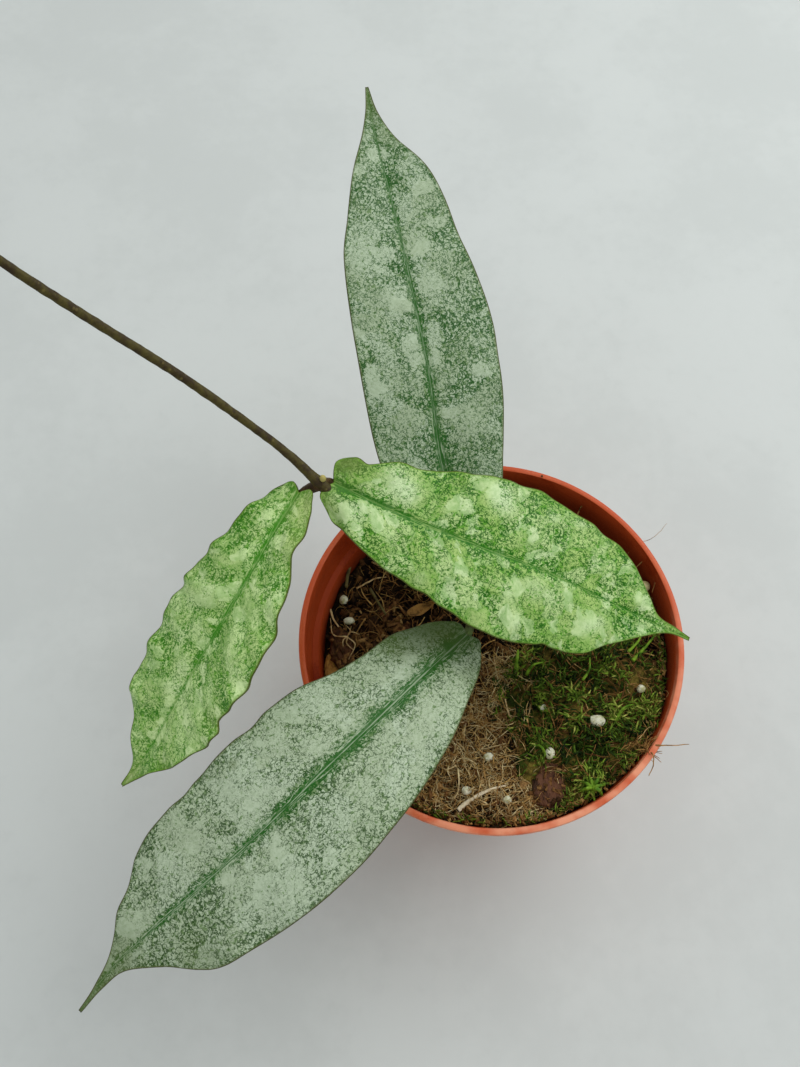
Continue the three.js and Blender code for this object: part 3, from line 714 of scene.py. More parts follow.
def blade_point(leaf, midrib, share, across, depth):
    """A point of the blade. Depth is how far it lies below the upper face."""
    centre, ahead, side, up = midrib
    reach = abs(across)
    width = half_width(leaf, share, across)
    out = reach * width
    phase = LEFT_PHASE if across < 0 else RIGHT_PHASE
    beat = 2 * math.pi * leaf["ripples"] * share
    wave = math.sin(beat + phase) + 0.5 * math.sin(1.7 * beat + 3 * phase)
    ripple = leaf["ripple"] * reach ** 3 * wave
    pucker = leaf["pucker"] * leaf["smooth"] * swelling(leaf, share, across) * math.sin(math.pi * reach)
    lift = leaf["keel"] * out - leaf["droop"] * (out / WIDE) ** 2
    fade = min(1, width / CALM_WIDTH)
    back = leaf["lobe"] * math.sin(0.75 * math.pi * reach) - leaf["rounding"] * max(0, 2 * reach - 1) ** 2
    back *= max(0, 1 - share / LOBE_SHARE) ** 2
    return (centre + side * math.copysign(out, across) - ahead * back
            + up * (lift + (ripple + pucker) * fade - depth))


for leaf in LEAVES.values():
    leaf["line"] = SmoothLine(leaf["midrib"])
print("midribs:", [round(leaf["line"].length) for leaf in LEAVES.values()])

# %% Paler and greener regions of each leaf
# Each region: its share of the midrib, millimetres to the right of it, its size in millimetres, and
# how much paler the leaf is there, or greener where that is below 0.
REGIONS = {
    "leaf_back": [
        (0.38, -15, 6, 0.3), (0.32, -9, 4, 0.3), (0.56, -5, 4.5, 0.8), (0.62, -15, 5, 0.4),
        (0.68, -12, 5, 0.6), (0.27, 14, 5, 0.5), (0.32, 9, 4, 0.5), (0.46, 4, 4, 0.7), (0.52, 4, 4, 0.5),
        (0.45, 14, 3.5, 0.7), (0.57, 7, 4, 0.6), (0.61, 11, 4.5, 0.6), (0.66, 4, 3.5, 0.5),
        (0.73, 4, 4.5, 0.7), (0.24, 0, 4, -0.8), (0.25, 5, 3.5, -0.5), (0.35, -1, 4, -0.5),
        (0.5, -7, 4.5, -0.5), (0.47, -17, 4, -0.4), (0.61, -2, 3.5, -0.6), (0.6, -8, 4, -0.35),
        (0.78, -10, 5, -0.6), (0.66, 10, 4, -0.4), (0.41, 17, 4, -0.4), (0.54, 15, 5, -0.35),
        (0.62, 17, 4, -0.4), (0.22, 17, 5, -0.5), (0.1, -8, 6, 0.3), (0.12, 8, 6, 0.3),
    ],
    "leaf_front": [
        (0.15, -11, 7, 0.5), (0.36, -14, 8, 0.35), (0.42, -12, 5, 0.3), (0.54, -10, 6, 0.7),
        (0.6, -8, 6, 0.7), (0.62, -14, 4, 0.5), (0.18, 7, 5, 0.45), (0.29, 15, 5, 0.35),
        (0.36, 10, 6, 0.6), (0.45, 7, 5, 0.25), (0.53, 15, 5, 0.35), (0.64, 9, 3, 0.6),
        (0.8, 3, 3.5, 0.6), (0.52, -18, 4, 0.3), (0.03, 0, 6, -0.8), (0.2, -3, 3, -0.6),
        (0.3, 0, 4, -0.5), (0.4, -1.5, 4, -0.5), (0.48, -1, 3.5, -0.4), (0.25, 7, 4, -0.4),
        (0.57, 6, 3.5, -0.5), (0.7, -12.5, 5, -0.5), (0.75, 12, 4, -0.4), (0.8, -8, 4, -0.5),
        (0.43, 20, 4, -0.4),
    ],
    "leaf_right": [
        (0.13, -8, 6, 0.7), (0.18, -5.5, 4.5, 0.6), (0.28, -6, 2.5, 0.5), (0.41, -15, 6, 0.8),
        (0.38, -17, 4, 0.4), (0.545, -16, 3, 0.7), (0.62, -17, 2.5, 0.5), (0.68, -8, 3, 0.6),
        (0.835, -4, 3, 0.6), (0.08, 4, 5, 0.8), (0.17, 8, 4, 0.4), (0.27, 15, 3.5, 0.5),
        (0.37, 12, 2.5, 0.4), (0.42, 9, 3.5, 0.4), (0.48, 9, 3.5, 0.6), (0.55, 6, 5, 0.6),
        (0.61, 7, 3.5, 0.4), (0.53, 17, 3, 0.7), (0.71, 10, 4, 0.7), (0.75, 7, 3.5, 0.6),
        (0.03, -4, 4, -0.5), (0.23, 2.5, 1.6, -1.0), (0.36, -3, 3.5, -0.5), (0.33, -10, 4, -0.4),
        (0.43, -7, 3, -0.3), (0.49, -17, 3, -0.5), (0.55, -11, 3, -0.4), (0.73, -14, 4, -0.7),
        (0.35, 17, 4, -0.6), (0.44, 14, 3, -0.3), (0.8, 3, 4, -0.4), (0.83, 6, 3.5, -0.5),
        (0.61, 14, 3.5, -0.5), (0.52, -1, 3, -0.4), (0.6, -1, 3, -0.4), (0.2, 13, 4, -0.3),
        (0.32, 6, 3.5, -0.4),
    ],
    "leaf_left": [
        (0.1, 3, 4, 0.6), (0.2, 4, 3.5, 0.6), (0.14, -8, 4, 0.35), (0.26, -6, 3, 0.5), (0.35, 8, 4, 0.6),
        (0.42, 12, 4, 0.6), (0.45, 4, 3, 0.4), (0.52, 9, 3.5, 0.7), (0.57, 2.5, 3.5, 0.7),
        (0.64, 2, 4.5, 0.8), (0.45, -13, 4, 0.5), (0.28, -14, 3, 0.35), (0.37, -8, 3, 0.3),
        (0.66, -7, 4, 0.5), (0.75, -4, 3, 0.5), (0.7, -12, 4, 0.3), (0.02, 0, 3, -0.5),
        (0.2, -2, 4, -0.7), (0.3, -2, 3, -0.4), (0.4, -1, 3, -0.5), (0.5, -7, 3.5, -0.5),
        (0.62, -14, 4, -0.7), (0.54, 17, 4, -0.6), (0.6, 10, 3.5, -0.4), (0.77, 5, 4, -0.5),
        (0.77, 14, 4, -0.6), (0.82, -8, 4, -0.5), (0.15, 10, 4, -0.4),
    ],
}
for name, regions in REGIONS.items():
    LEAVES[name]["regions"] = regions

# Olive regions in the same way: the tips, some margins and the bases. On the front leaf's base
# they are painted shade, where the right leaf above shades it; elsewhere they are olive tint.
OLIVE_AND_SHADE = {
    "leaf_back": [(0.97, 0, 9, 0.8), (0.88, 6, 5, 0.4), (0.85, -8, 4, 0.3), (0.62, -20, 3, 0.4)],
    "leaf_front": [(0.97, 0, 12, 0.9), (0.86, 0, 9, 0.45), (0.74, -15, 7, 0.45), (0.03, 8, 9, 1.3),
                   (0.12, 13, 7, 0.9), (0.0, -3, 5, 0.3), (0.06, -11, 5, 0.5), (0.487, 18.5, 1.5, 0.7)],
    "leaf_right": [(0.0, -8, 7, 1.2), (0.01, 6, 4, 0.8), (0.04, 9, 3, 0.5), (0.98, 0, 6, 0.5),
                   (0.3, -15, 4, 0.3), (0.25, 16, 3, 0.5)],
    "leaf_left": [(0.03, -6, 6, 0.6), (0.12, -9, 4, 0.5), (0.97, 0, 7, 0.7), (0.83, -9, 4, 0.3),
                  (0.6, -16, 4, 0.3)],
}
for name, regions in OLIVE_AND_SHADE.items():
    LEAVES[name]["olive"] = regions


def region_field(leaf, regions, along, sideways):
    """The strength of listed soft regions at a place on a blade."""
    total = 0.0
    for share, offset, size, strength in regions:
        gap = (along - share * leaf["line"].length) ** 2 + (sideways - offset) ** 2
        total += strength * math.exp(-gap / size ** 2)
    return total


def pale_field(leaf, along, sideways):
    """Above 0 the leaf is paler, below 0 it is greener."""
    return region_field(leaf, leaf["regions"], along, sideways)


# %% [markdown]
# ## Fine relief of the leaf
#
# Between the side veins the surface is quilted with small soft bumps, strong on the two young leaves
# and weak on the two old ones. The midrib lies in a shallow groove. Each vertex also remembers what
# the finish needs: its place on the blade, how close it is to the midrib band and to the margin, how
# deep it lies between the bumps, and how pale the leaf is there.

# %% Fine relief
GROOVE_WIDTH = 0.7
BUMP_SIZE = 6.5
SIZES = {
    "leaf_back": dict(groove=0.25, bumps=0.25, vein=0.08, band=1.1, seed=11, smooth=1, rounding=1),
    "leaf_front": dict(groove=0.25, bumps=0.25, vein=0.08, band=1.6, seed=23, smooth=1, rounding=2),
    "leaf_right": dict(groove=0.35, bumps=0.8, vein=0.1, band=1.0, seed=37, smooth=0.45, rounding=3.4),
    "leaf_left": dict(groove=0.3, bumps=0.7, vein=0.1, band=0.8, seed=41, smooth=0.45, rounding=2),
}

# Small notches of the margins: which side, where each starts, is deepest and ends, and how deep it is.
# A depth below 0 is a bulge.
NOTCHES = {
    "leaf_back": [(1, 0.3, 0.4, 0.47, 0.5)],
    "leaf_front": [(1, 0.38, 0.42, 0.465, 1.0), (1, 0.57, 0.6, 0.64, 0.7), (1, 0.74, 0.78, 0.83, 1.6),
                   (-1, 0.8, 0.86, 0.93, 0.7)],
    "leaf_right": [(-1, 0.82, 0.885, 0.96, 2.3), (-1, 0.73, 0.79, 0.84, 0.9), (1, 0.25, 0.3, 0.34, 0.8),
                   (1, 0.6, 0.63, 0.66, 0.6), (-1, -0.06, 0.005, 0.05, -1.6), (-1, 0.02, 0.055, 0.12, 0.7),
                   (1, -0.06, 0.01, 0.07, -2)],
    "leaf_left": [(-1, 0.08, 0.17, 0.21, 1.1), (-1, 0.5, 0.59, 0.62, 2.2), (1, 0.71, 0.74, 0.78, 0.9),
                  (1, 0.78, 0.815, 0.87, 2.8)],
}
for name, size in SIZES.items():
    LEAVES[name].update(size)
    LEAVES[name]["notches"] = NOTCHES[name]


def quilting(leaf, along, sideways):
    """Soft bumps, about 0 to 1, at a place on the blade in millimetres."""
    place = Vector((along / BUMP_SIZE, sideways / BUMP_SIZE, leaf["seed"]))
    coarse = noise.noise(place)
    fine = noise.noise(place * 2.3)
    return clamp(0.5 + 0.75 * coarse + 0.25 * fine)


def fine_relief(leaf, share, across):
    """How far the upper face rises above the plain formula."""
    out = abs(across) * half_width(leaf, share, across)
    sideways = math.copysign(out, across)
    taper = 1 - 0.7 * share
    groove = leaf["groove"] * taper * math.exp(-(out / (GROOVE_WIDTH * taper + 0.2)) ** 2)
    calm = min(1, half_width(leaf, share, across) * (1 - abs(across)) / 4) * min(1, out / 3)
    vein = leaf["vein"] * (1 - swelling(leaf, share, across)) ** 3 * calm
    along = share * leaf["line"].length
    pale = min(max(pale_field(leaf, along, sideways), -0.6), 0.8)
    domes = quilting(leaf, along, sideways) - 0.4 + 0.8 * pale
    bumps = leaf["bumps"] * domes * calm
    return bumps - groove - vein


print("groove of the front leaf:", round(fine_relief(LEAVES["leaf_front"], 0.3, 0.0), 2))

# %% Build a blade
LEAF_ROWS = 240
LEAF_COLUMNS = 64


def margin_distance(leaf, share, across):
    """How far a place on the blade is from its nearest margin, in millimetres."""
    sideways = (1 - abs(across)) * half_width(leaf, share, across)
    return min(sideways, share * leaf["line"].length + 0.15, (1 - share) * leaf["line"].length)


def blade_mesh(leaf, rows, columns):
    """The blade as a closed sheet with rounded margins, upper faces first."""
    bm = bmesh.new()
    store = bm.verts.layers.float
    layers = {name: store.new(name) for name in ("margin", "band", "dip", "pale", "olive")}
    blade_place = bm.verts.layers.float_vector.new("blade_place")
    bmesh.ops.create_grid(bm, x_segments=rows, y_segments=columns, size=1)
    frames = [midrib_frame(leaf, row / rows) for row in range(rows + 1)]
    length = leaf["line"].length
    for vert in bm.verts:
        share, across = (vert.co.x + 1) / 2, vert.co.y
        sideways = across * half_width(leaf, share, across)
        vert[layers["margin"]] = margin_distance(leaf, share, across)
        vert[layers["band"]] = abs(sideways) / (leaf["band"] * (1.15 - share))
        vert[layers["dip"]] = 1 - swelling(leaf, share, across) * quilting(leaf, share * length, sideways)
        vert[layers["pale"]] = pale_field(leaf, share * length, sideways)
        vert[layers["olive"]] = region_field(leaf, leaf["olive"], share * length, sideways)
        vert[blade_place] = (share * length * MM, sideways * MM, leaf["seed"])
    for top, bottom in thicken(bm):
        row = round((top.co.x + 1) / 2 * rows)
        share, across = row / rows, top.co.y
        relief = fine_relief(leaf, share, across)
        thickness = BLADE_EDGE + (BLADE_MIDDLE - BLADE_EDGE) * (1 - across ** 2)
        thickness *= min(1, 0.45 + 0.08 * half_width(leaf, share, across))
        top.co = blade_point(leaf, frames[row], share, across, -relief)
        bottom.co = blade_point(leaf, frames[row], share, across, thickness - relief * 0.6)
    return bm


def thicken(bm):
    """Extrudes a whole sheet, and pairs each vertex with the one that is to lie below it."""
    tags = bm.verts.layers.int.new("pair")
    upper = list(bm.verts)
    for number, vert in enumerate(upper):
        vert[tags] = number
    lower = [None] * len(upper)
    for part in bmesh.ops.extrude_face_region(bm, geom=bm.faces[:])["geom"]:
        if isinstance(part, bmesh.types.BMVert):
            lower[part[tags]] = part
        elif isinstance(part, bmesh.types.BMFace):
            part.material_index = 1
    return list(zip(upper, lower))


# %% [markdown]
# ## Silver flecks
#
# Air pockets under the skin of the leaf scatter the light, and make it silver. Where they are
# missing, the dark green tissue shows as fine crooked flecks, less than a millimetre wide. A ridged
# noise gives such crooked lines: the noise crosses its middle value along winding curves, and only
# places near that value are taken. How crowded they are differs from one many-sided field of the leaf
# to the next, and follows slower clouds too. These fields and clouds lean forward from the midrib, as
# the side veins do. Where the flecks crowd together, whole islands of green join up. Old and young
# leaves use this group with their own values.

# %% Lines and stirred places
def crooked_lines(tree, value, threshold, softness):
    """1 along the winding curves where a noise is near its middle value."""
    ridge = sum_of(tree, "ABSOLUTE", sum_of(tree, "SUBTRACT", value, 0.5))
    outer = plus(tree, threshold, softness)
    return ease(tree, ridge, outer, sum_of(tree, "SUBTRACT", threshold, softness))


def stirred(tree, place, scale, reach):
    """A place pushed aside by a noise, by up to about half the reach."""
    push = add_node(tree, "ShaderNodeVectorMath", {"operation": "SUBTRACT"})
    feed(tree, push.inputs[0], cloud(tree, place, scale, detail=1.0).outputs["Color"])
    feed(tree, push.inputs[1], (0.5, 0.5, 0.5))
    pushed = add_node(tree, "ShaderNodeVectorMath", {"operation": "SCALE"}, Scale=reach)
    feed(tree, pushed.inputs["Vector"], push.outputs["Vector"])
    moved = add_node(tree, "ShaderNodeVectorMath", {"operation": "ADD"})
    feed(tree, moved.inputs[0], place)
    feed(tree, moved.inputs[1], pushed.outputs["Vector"])
    return moved.outputs["Vector"]


# %% Silver fleck group
flecks, given, result = new_group(
    "silver_flecks",
    {
        "Place": ("NodeSocketVector", None),
        "Flow": ("NodeSocketVector", None),
        "Scale": ("NodeSocketFloat", 900.0),
        "Cover": ("NodeSocketFloat", 0.5),
        "Field Scale": ("NodeSocketFloat", 120.0),
        "Patch Share": ("NodeSocketFloat", 0.3),
    },
    {name: "NodeSocketFloat" for name in ("Flecks", "Islands", "Clear", "Tone", "Crowding", "Valley")},
)
crooked = stirred(flecks, given["Place"], times(flecks, given["Scale"], 0.45), 0.0012)
ragged_flow = stirred(flecks, stirred(flecks, given["Flow"], 260.0, 0.004), 900.0, 0.0016)
coarse = cloud(flecks, crooked, given["Scale"], detail=2.5, roughness=0.6).outputs["Fac"]
double = times(flecks, given["Scale"], 1.9)
fine = cloud(flecks, crooked, double, detail=1.5, roughness=0.6).outputs["Fac"]
slow = cloud(flecks, given["Flow"], 130.0, detail=3.0, roughness=0.65).outputs["Fac"]
slower = cloud(flecks, given["Flow"], 40.0, detail=2.0).outputs["Fac"]
crowding = plus(flecks, given["Cover"], sum_of(flecks, "MULTIPLY_ADD", slow, 0.95, -0.475))
crowding = plus(flecks, crowding, sum_of(flecks, "MULTIPLY_ADD", slower, 0.5, -0.25))
print("fleck group, first part:", len(flecks.nodes), "nodes")

# %% Fields and clear patches among the flecks
fields = add_node(flecks, "ShaderNodeTexVoronoi", None, Vector=ragged_flow, Scale=given["Field Scale"])
field_traits = add_node(flecks, "ShaderNodeSeparateColor", None, Color=fields.outputs["Color"]).outputs
crowding = plus(flecks, crowding, sum_of(flecks, "MULTIPLY_ADD", field_traits[0], 0.4, -0.2))
patch_scale = times(flecks, given["Field Scale"], 1.7)
patches = add_node(flecks, "ShaderNodeTexVoronoi", None, Vector=ragged_flow, Scale=patch_scale)
chance = add_node(flecks, "ShaderNodeSeparateColor", None, Color=patches.outputs["Color"]).outputs[0]
within = ease(flecks, patches.outputs["Distance"], 0.62, 0.5)
clear = times(flecks, within, sum_of(flecks, "LESS_THAN", chance, given["Patch Share"]))
crowding = sum_of(flecks, "SUBTRACT", crowding, times(flecks, clear, 0.45))
valleys = add_node(flecks, "ShaderNodeTexVoronoi", {"feature": "DISTANCE_TO_EDGE"}, Vector=ragged_flow,
                   Scale=given["Field Scale"])
flecks.links.new(ease(flecks, valleys.outputs["Distance"], 0.16, 0.02), result["Valley"])
flecks.links.new(field_traits[1], result["Tone"])
flecks.links.new(clear, result["Clear"])

# %% Flecks and islands
wide_lines = crooked_lines(flecks, coarse, times(flecks, crowding, 0.05), 0.01)
thin_lines = crooked_lines(flecks, fine, times(flecks, crowding, 0.034), 0.01)
breaks = cloud(flecks, given["Place"], given["Scale"], detail=1.0).outputs["Fac"]
broken = sum_of(flecks, "MULTIPLY_ADD", crowding, 0.14, breaks)
wide_lines = times(flecks, wide_lines, ease(flecks, broken, 0.5, 0.56))
lines = sum_of(flecks, "MAXIMUM", wide_lines, times(flecks, thin_lines, 0.65))
blotch = cloud(flecks, crooked, times(flecks, given["Scale"], 1.05), detail=3.5,
               roughness=0.72).outputs["Fac"]
islands = ease(flecks, sum_of(flecks, "MULTIPLY_ADD", crowding, 0.15, blotch), 0.65, 0.69)
flecks.links.new(lines, result["Flecks"])
flecks.links.new(islands, result["Islands"])
flecks.links.new(ease(flecks, crowding, 0.0, 1.2), result["Crowding"])
print("fleck group:", len(flecks.nodes), "nodes")

# %% [markdown]
# ## The leaf's finish
#
# From the margin inwards: a thin dark line on the very edge, a band with little silver, then silver
# broken by flecks, and along the midrib an uneven green band with fine pale strands in it. The band is
# strongest at the base. The flecks are faint in the silver fields and strong in the green ones. On
# the young leaves the dips between the bumps are green too, and the tops of the bumps nearly white.

# %% Values for the upper face
def vertex_value(tree, name, output="Fac"):
    return add_node(tree, "ShaderNodeAttribute", {"attribute_name": name}).outputs[output]


def blade_flow(tree, place):
    """The place on the blade, sheared so that patterns lean forward like side veins."""
    x, y, z = add_node(tree, "ShaderNodeSeparateXYZ", None, Vector=place).outputs
    aside = sum_of(tree, "ABSOLUTE", y)
    ahead = sum_of(tree, "MULTIPLY_ADD", aside, -0.35, x)
    leaning = add_node(tree, "ShaderNodeCombineXYZ", None, X=ahead, Y=times(tree, y, 0.85), Z=z)
    strands = add_node(tree, "ShaderNodeCombineXYZ", None, X=times(tree, x, 0.1), Y=y, Z=z)
    return leaning.outputs[0], strands.outputs[0], x, aside


# %% Finish of the upper face
def leaf_skin(name, look, length):
    """The upper face of a leaf."""
    material, tree, shader = new_material(name, look["roughness"], gloss=0.15)
    place = vertex_value(tree, "blade_place", "Vector")
    margin, band, dip, pale, olive = (vertex_value(tree, part)
                                      for part in ("margin", "band", "dip", "pale", "olive"))
    flow, strands, along, aside = blade_flow(tree, place)
    outward = sum_of(tree, "DIVIDE", along, length * MM)
    slow = cloud(tree, flow, 170.0, detail=3.0, roughness=0.6).outputs["Fac"]
    jagged = cloud(tree, flow, 900.0, detail=3.0, roughness=0.65).outputs["Fac"]
    strand = cloud(tree, strands, 1000.0, detail=2.0, roughness=0.5).outputs["Fac"]
    ragged = plus(tree, sum_of(tree, "MULTIPLY_ADD", slow, 2.4, -1.2),
                  sum_of(tree, "MULTIPLY_ADD", jagged, 3.0, -1.5))

    near_rib = ease(tree, plus(tree, band, ragged), 3.4, 0.2)
    near_margin = ease(tree, plus(tree, margin, ragged), look["margin_width"] * 2.2, 0.3)
    cover = sum_of(tree, "MULTIPLY_ADD", dip, look["dip_cover"], look["cover"])
    cover = plus(tree, cover, times(tree, near_rib, look["rib_cover"]))
    cover = plus(tree, cover, times(tree, near_margin, look["margin_cover"]))
    cover = sum_of(tree, "SUBTRACT", cover, times(tree, pale, look["region_cover"]))
    pattern = place_group(tree, flecks, Place=place, Flow=flow, Scale=look["fleck_scale"], Cover=cover,
                          Field_Scale=look["field_scale"], Patch_Share=look["patch_share"])

    silver = mix(tree, ease(tree, pattern["Tone"], 0.2, 0.8), look["silver"], look["silver_light"])
    lit = times(tree, pattern["Clear"], 0.6)
    lit = sum_of(tree, "MAXIMUM", lit, ease(tree, pale, 0.1, 1.0))
    silver = mix(tree, times(tree, lit, look["lit"]), silver, look["silver_clear"])
    silver = mix(tree, times(tree, ease(tree, jagged, 0.6, 0.38), 0.2), silver, look["tissue"])
    green = times(tree, pattern["Crowding"], look["haze"])
    in_valley = times(tree, pattern["Valley"], look["valley"])
    in_valley = times(tree, in_valley, ease(tree, pale, 0.9, -0.1))
    green = sum_of(tree, "MAXIMUM", green, in_valley)
    glow = times(tree, near_rib, ease(tree, outward, 1.15, 0.25))
    green = sum_of(tree, "MAXIMUM", green, times(tree, glow, look["glow"]))
    colour = mix(tree, green, silver, look["tissue"])
    colour = mix(tree, times(tree, pattern["Islands"], look["island"]), colour, look["tissue"])
    bright = mix(tree, near_rib, look["fleck"], look["rib"])
    drawn = sum_of(tree, "MULTIPLY_ADD", pattern["Crowding"], look["contrast"], look["faintest"])
    colour = mix(tree, times(tree, pattern["Flecks"], drawn), colour, bright)

    on_band = ease(tree, sum_of(tree, "MULTIPLY_ADD", ragged, 0.7, band), 1.15, 0.7)
    fading = times(tree, on_band, ease(tree, outward, 1.1, -0.1))
    colour = mix(tree, times(tree, fading, 0.85), colour, look["rib"])
    shown = times(tree, ease(tree, band, 2.2, 0.6), ease(tree, slow, 0.36, 0.5))
    pale_strands = times(tree, crooked_lines(tree, strand, 0.022, 0.012), shown)
    colour = mix(tree, times(tree, pale_strands, 0.75), colour, look["silver"])
    from_rib = plus(tree, aside, sum_of(tree, "MULTIPLY_ADD", strand, 0.7 * MM, -0.35 * MM))
    from_rib = sum_of(tree, "DIVIDE", from_rib, sum_of(tree, "SUBTRACT", 1.25, outward))
    rib_line = times(tree, ease(tree, from_rib, 0.8 * MM, 0.3 * MM), look["rib_line"])
    colour = mix(tree, rib_line, colour, look["rib"])
    rib_light = times(tree, ease(tree, from_rib, 0.2 * MM, 0.08 * MM), look["rib_light"])
    colour = mix(tree, rib_light, colour, look["silver"])

    # Olive tint, and painted shade on the front leaf's base.
    olive_and_shade_share = times(tree, olive, sum_of(tree, "MULTIPLY_ADD", slow, 0.8, 0.3))
    colour = mix(tree, sum_of(tree, "MINIMUM", olive_and_shade_share, 0.8), colour, look["olive"])
    in_margin = ease(tree, sum_of(tree, "MULTIPLY_ADD", ragged, 0.4, margin), look["margin_width"], 0.2)
    colour = mix(tree, times(tree, in_margin, 0.6), colour, look["margin"])
    colour = mix(tree, times(tree, ease(tree, margin, 0.35, 0.12), 0.85), colour, look["edge"])
    tree.links.new(colour, shader.inputs["Base Color"])
    height = sum_of(tree, "SUBTRACT", times(tree, jagged, 0.7), pattern["Flecks"])
    raise_surface(tree, shader, height, 0.035)
    return material


print("leaf finish is ready")

# %% Looks of the four leaves
MATURE = dict(
    roughness=0.46, rib_light=0.6, rib_line=0.65,
    silver=screen(168, 185, 153), silver_light=screen(178, 195, 166), silver_clear=screen(180, 197, 168),
    tissue=screen(86, 120, 58), fleck=screen(36, 70, 20), rib=screen(34, 92, 24),
    margin=screen(104, 118, 72), edge=screen(70, 70, 36), olive=screen(82, 102, 44),
    cover=0.62, dip_cover=0.1, rib_cover=0.55, margin_cover=0.2,
    region_cover=0.42, margin_width=0.8, haze=0.04, glow=0.46, island=0.75, contrast=0.4,
    faintest=0.6, lit=0.5, valley=0.0, fleck_scale=700.0, field_scale=105.0, patch_share=0.13,
)
YOUNG = dict(
    roughness=0.42, rib_light=0.2, rib_line=0.4,
    silver=screen(170, 200, 116), silver_light=screen(190, 215, 146), silver_clear=screen(208, 229, 184),
    tissue=screen(74, 146, 12), fleck=screen(30, 94, 2), rib=screen(36, 106, 10),
    margin=screen(118, 160, 58), edge=screen(76, 82, 28), olive=screen(98, 122, 40),
    cover=0.5, dip_cover=0.32, rib_cover=0.45, margin_cover=0.25,
    region_cover=0.32, margin_width=1.1, haze=0.1, glow=0.4, island=0.82, contrast=0.4,
    faintest=0.62, lit=0.7, valley=0.42, fleck_scale=740.0, field_scale=140.0, patch_share=0.3,
)
LOOKS = {
    "leaf_back": {
        **MATURE, "cover": 0.72, "rib": screen(40, 92, 28), "fleck": screen(34, 82, 26), "rib_light": 0.25,
    },
    "leaf_front": {
        **MATURE, "cover": 0.54, "silver": screen(175, 191, 160), "silver_light": screen(184, 200, 172),
    },
    "leaf_right": {**YOUNG, "olive": screen(102, 126, 56), "cover": 0.46},
    "leaf_left": {
        **YOUNG, "cover": 0.42, "silver": screen(190, 218, 140), "silver_light": screen(204, 231, 158),
        "silver_clear": screen(222, 243, 186), "fleck": screen(48, 116, 8), "tissue": screen(90, 156, 26),
        "olive": screen(150, 164, 92), "rib": screen(60, 134, 20),
    },
}
print("looks for", len(LOOKS), "leaves")

# %% [markdown]
# The underside has no silver. It is a plain paler green with the veins faintly lighter, and the
# short petiole is brown where it leaves the stem and turns green as it becomes the midrib.

# %% Finish of the underside and the petiole
def leaf_underside(name, light, dark, edge):
    """The lower face of a leaf: an even green with faint clouds and lighter veins."""
    material, tree, shader = new_material(name, 0.5)
    place = vertex_value(tree, "blade_place", "Vector")
    body = place_group(tree, mottle, Place=place, Scale=90.0, Grain_Scale=1500.0, First=light,
                       Second=dark, Grain_Depth=0.08)
    near_rib = ease(tree, vertex_value(tree, "band"), 2.0, 0.4)
    colour = mix(tree, times(tree, near_rib, 0.5), body["Color"], light)
    colour = mix(tree, ease(tree, vertex_value(tree, "margin"), 0.5, 0.2), colour, edge)
    tree.links.new(colour, shader.inputs["Base Color"])
    raise_surface(tree, shader, body["Height"], 0.05)
    return material


def petiole_skin(name, foot, green):
    """The petiole: brown and corky at the stem, green under the blade."""
    material, tree, shader = new_material(name, 0.55, gloss=0.2)
    place = object_place(tree)
    body = place_group(tree, mottle, Place=place, Scale=500.0, Grain_Scale=2500.0, First=foot,
                       Second=screen(84, 62, 34), Grain_Depth=0.2)
    along = ease(tree, vertex_value(tree, "along"), 5.0, 13.0)
    tree.links.new(mix(tree, along, body["Color"], green), shader.inputs["Base Color"])
    raise_surface(tree, shader, body["Height"], 0.1)
    return material


old_underside = leaf_underside("mature_underside", screen(142, 168, 118), screen(120, 150, 98),
                               screen(96, 86, 52))
young_underside = leaf_underside("young_underside", screen(158, 190, 112), screen(136, 172, 88),
                                 screen(104, 96, 46))
petiole_finish = petiole_skin("petiole_skin", screen(58, 42, 26), screen(130, 160, 90))
UNDERSIDES = {"mature_leaf": old_underside, "young_leaf": young_underside}
print("undersides:", list(UNDERSIDES))

# %% Build the four leaves
PETIOLE_STEPS = 60
PETIOLE_SIDES = 14


def add_petiole(bm, leaf):
    """The petiole from inside the stem's swelling, and on under the blade as its midrib."""
    route = [leaf["grows"]]
    for share in (0, 0.08, 0.25, 0.5, 0.7, RIB_REACH):
        centre, _, _, up = midrib_frame(leaf, share)
        radius = RIB_START + (RIB_END - RIB_START) * min(1, share * 1.15)
        sink = radius + 0.25 + leaf["groove"]
        route.append(centre - up * sink)
    line = SmoothLine(route)

    def radius_at(share):
        flare = 0.5 * math.exp(-share * line.length / 2.5)
        return RIB_START + (RIB_END - RIB_START) * min(1, share * 1.25) + flare

    along = bm.verts.layers.float.new("along")
    made = add_tube(bm, line, radius_at, PETIOLE_STEPS, PETIOLE_SIDES)
    for number, vert in enumerate(made):
        vert[along] = number // PETIOLE_SIDES / PETIOLE_STEPS * line.length


def leaf_piece(name):
    """One leaf with its petiole, in place of its solid."""
    leaf = LEAVES[name]
    bm = blade_mesh(leaf, LEAF_ROWS, LEAF_COLUMNS)
    stalk = bmesh.new()
    add_petiole(stalk, leaf)
    for face in stalk.faces:
        face.material_index = 2
    add_mesh_of(bm, stalk)
    bmesh.ops.recalc_face_normals(bm, faces=bm.faces)
    upper_face = leaf_skin(f"{name}_skin", LOOKS[name], leaf["line"].length)
    materials = [upper_face, UNDERSIDES[leaf["slot"]], petiole_finish]
    finish_piece(name + "_dressed", bm, materials, [name])


for name in LEAVES:
    leaf_piece(name)

# %% [markdown]
# ## The vine
#
# The stem rises from the soil, thickens at the two nodes where leaves grow, and runs on as a long
# bare shoot. It is one tube along the same route as the solid. Its skin is olive brown with corky
# mottles, and small pale dots, the pores through which a young stem breathes.

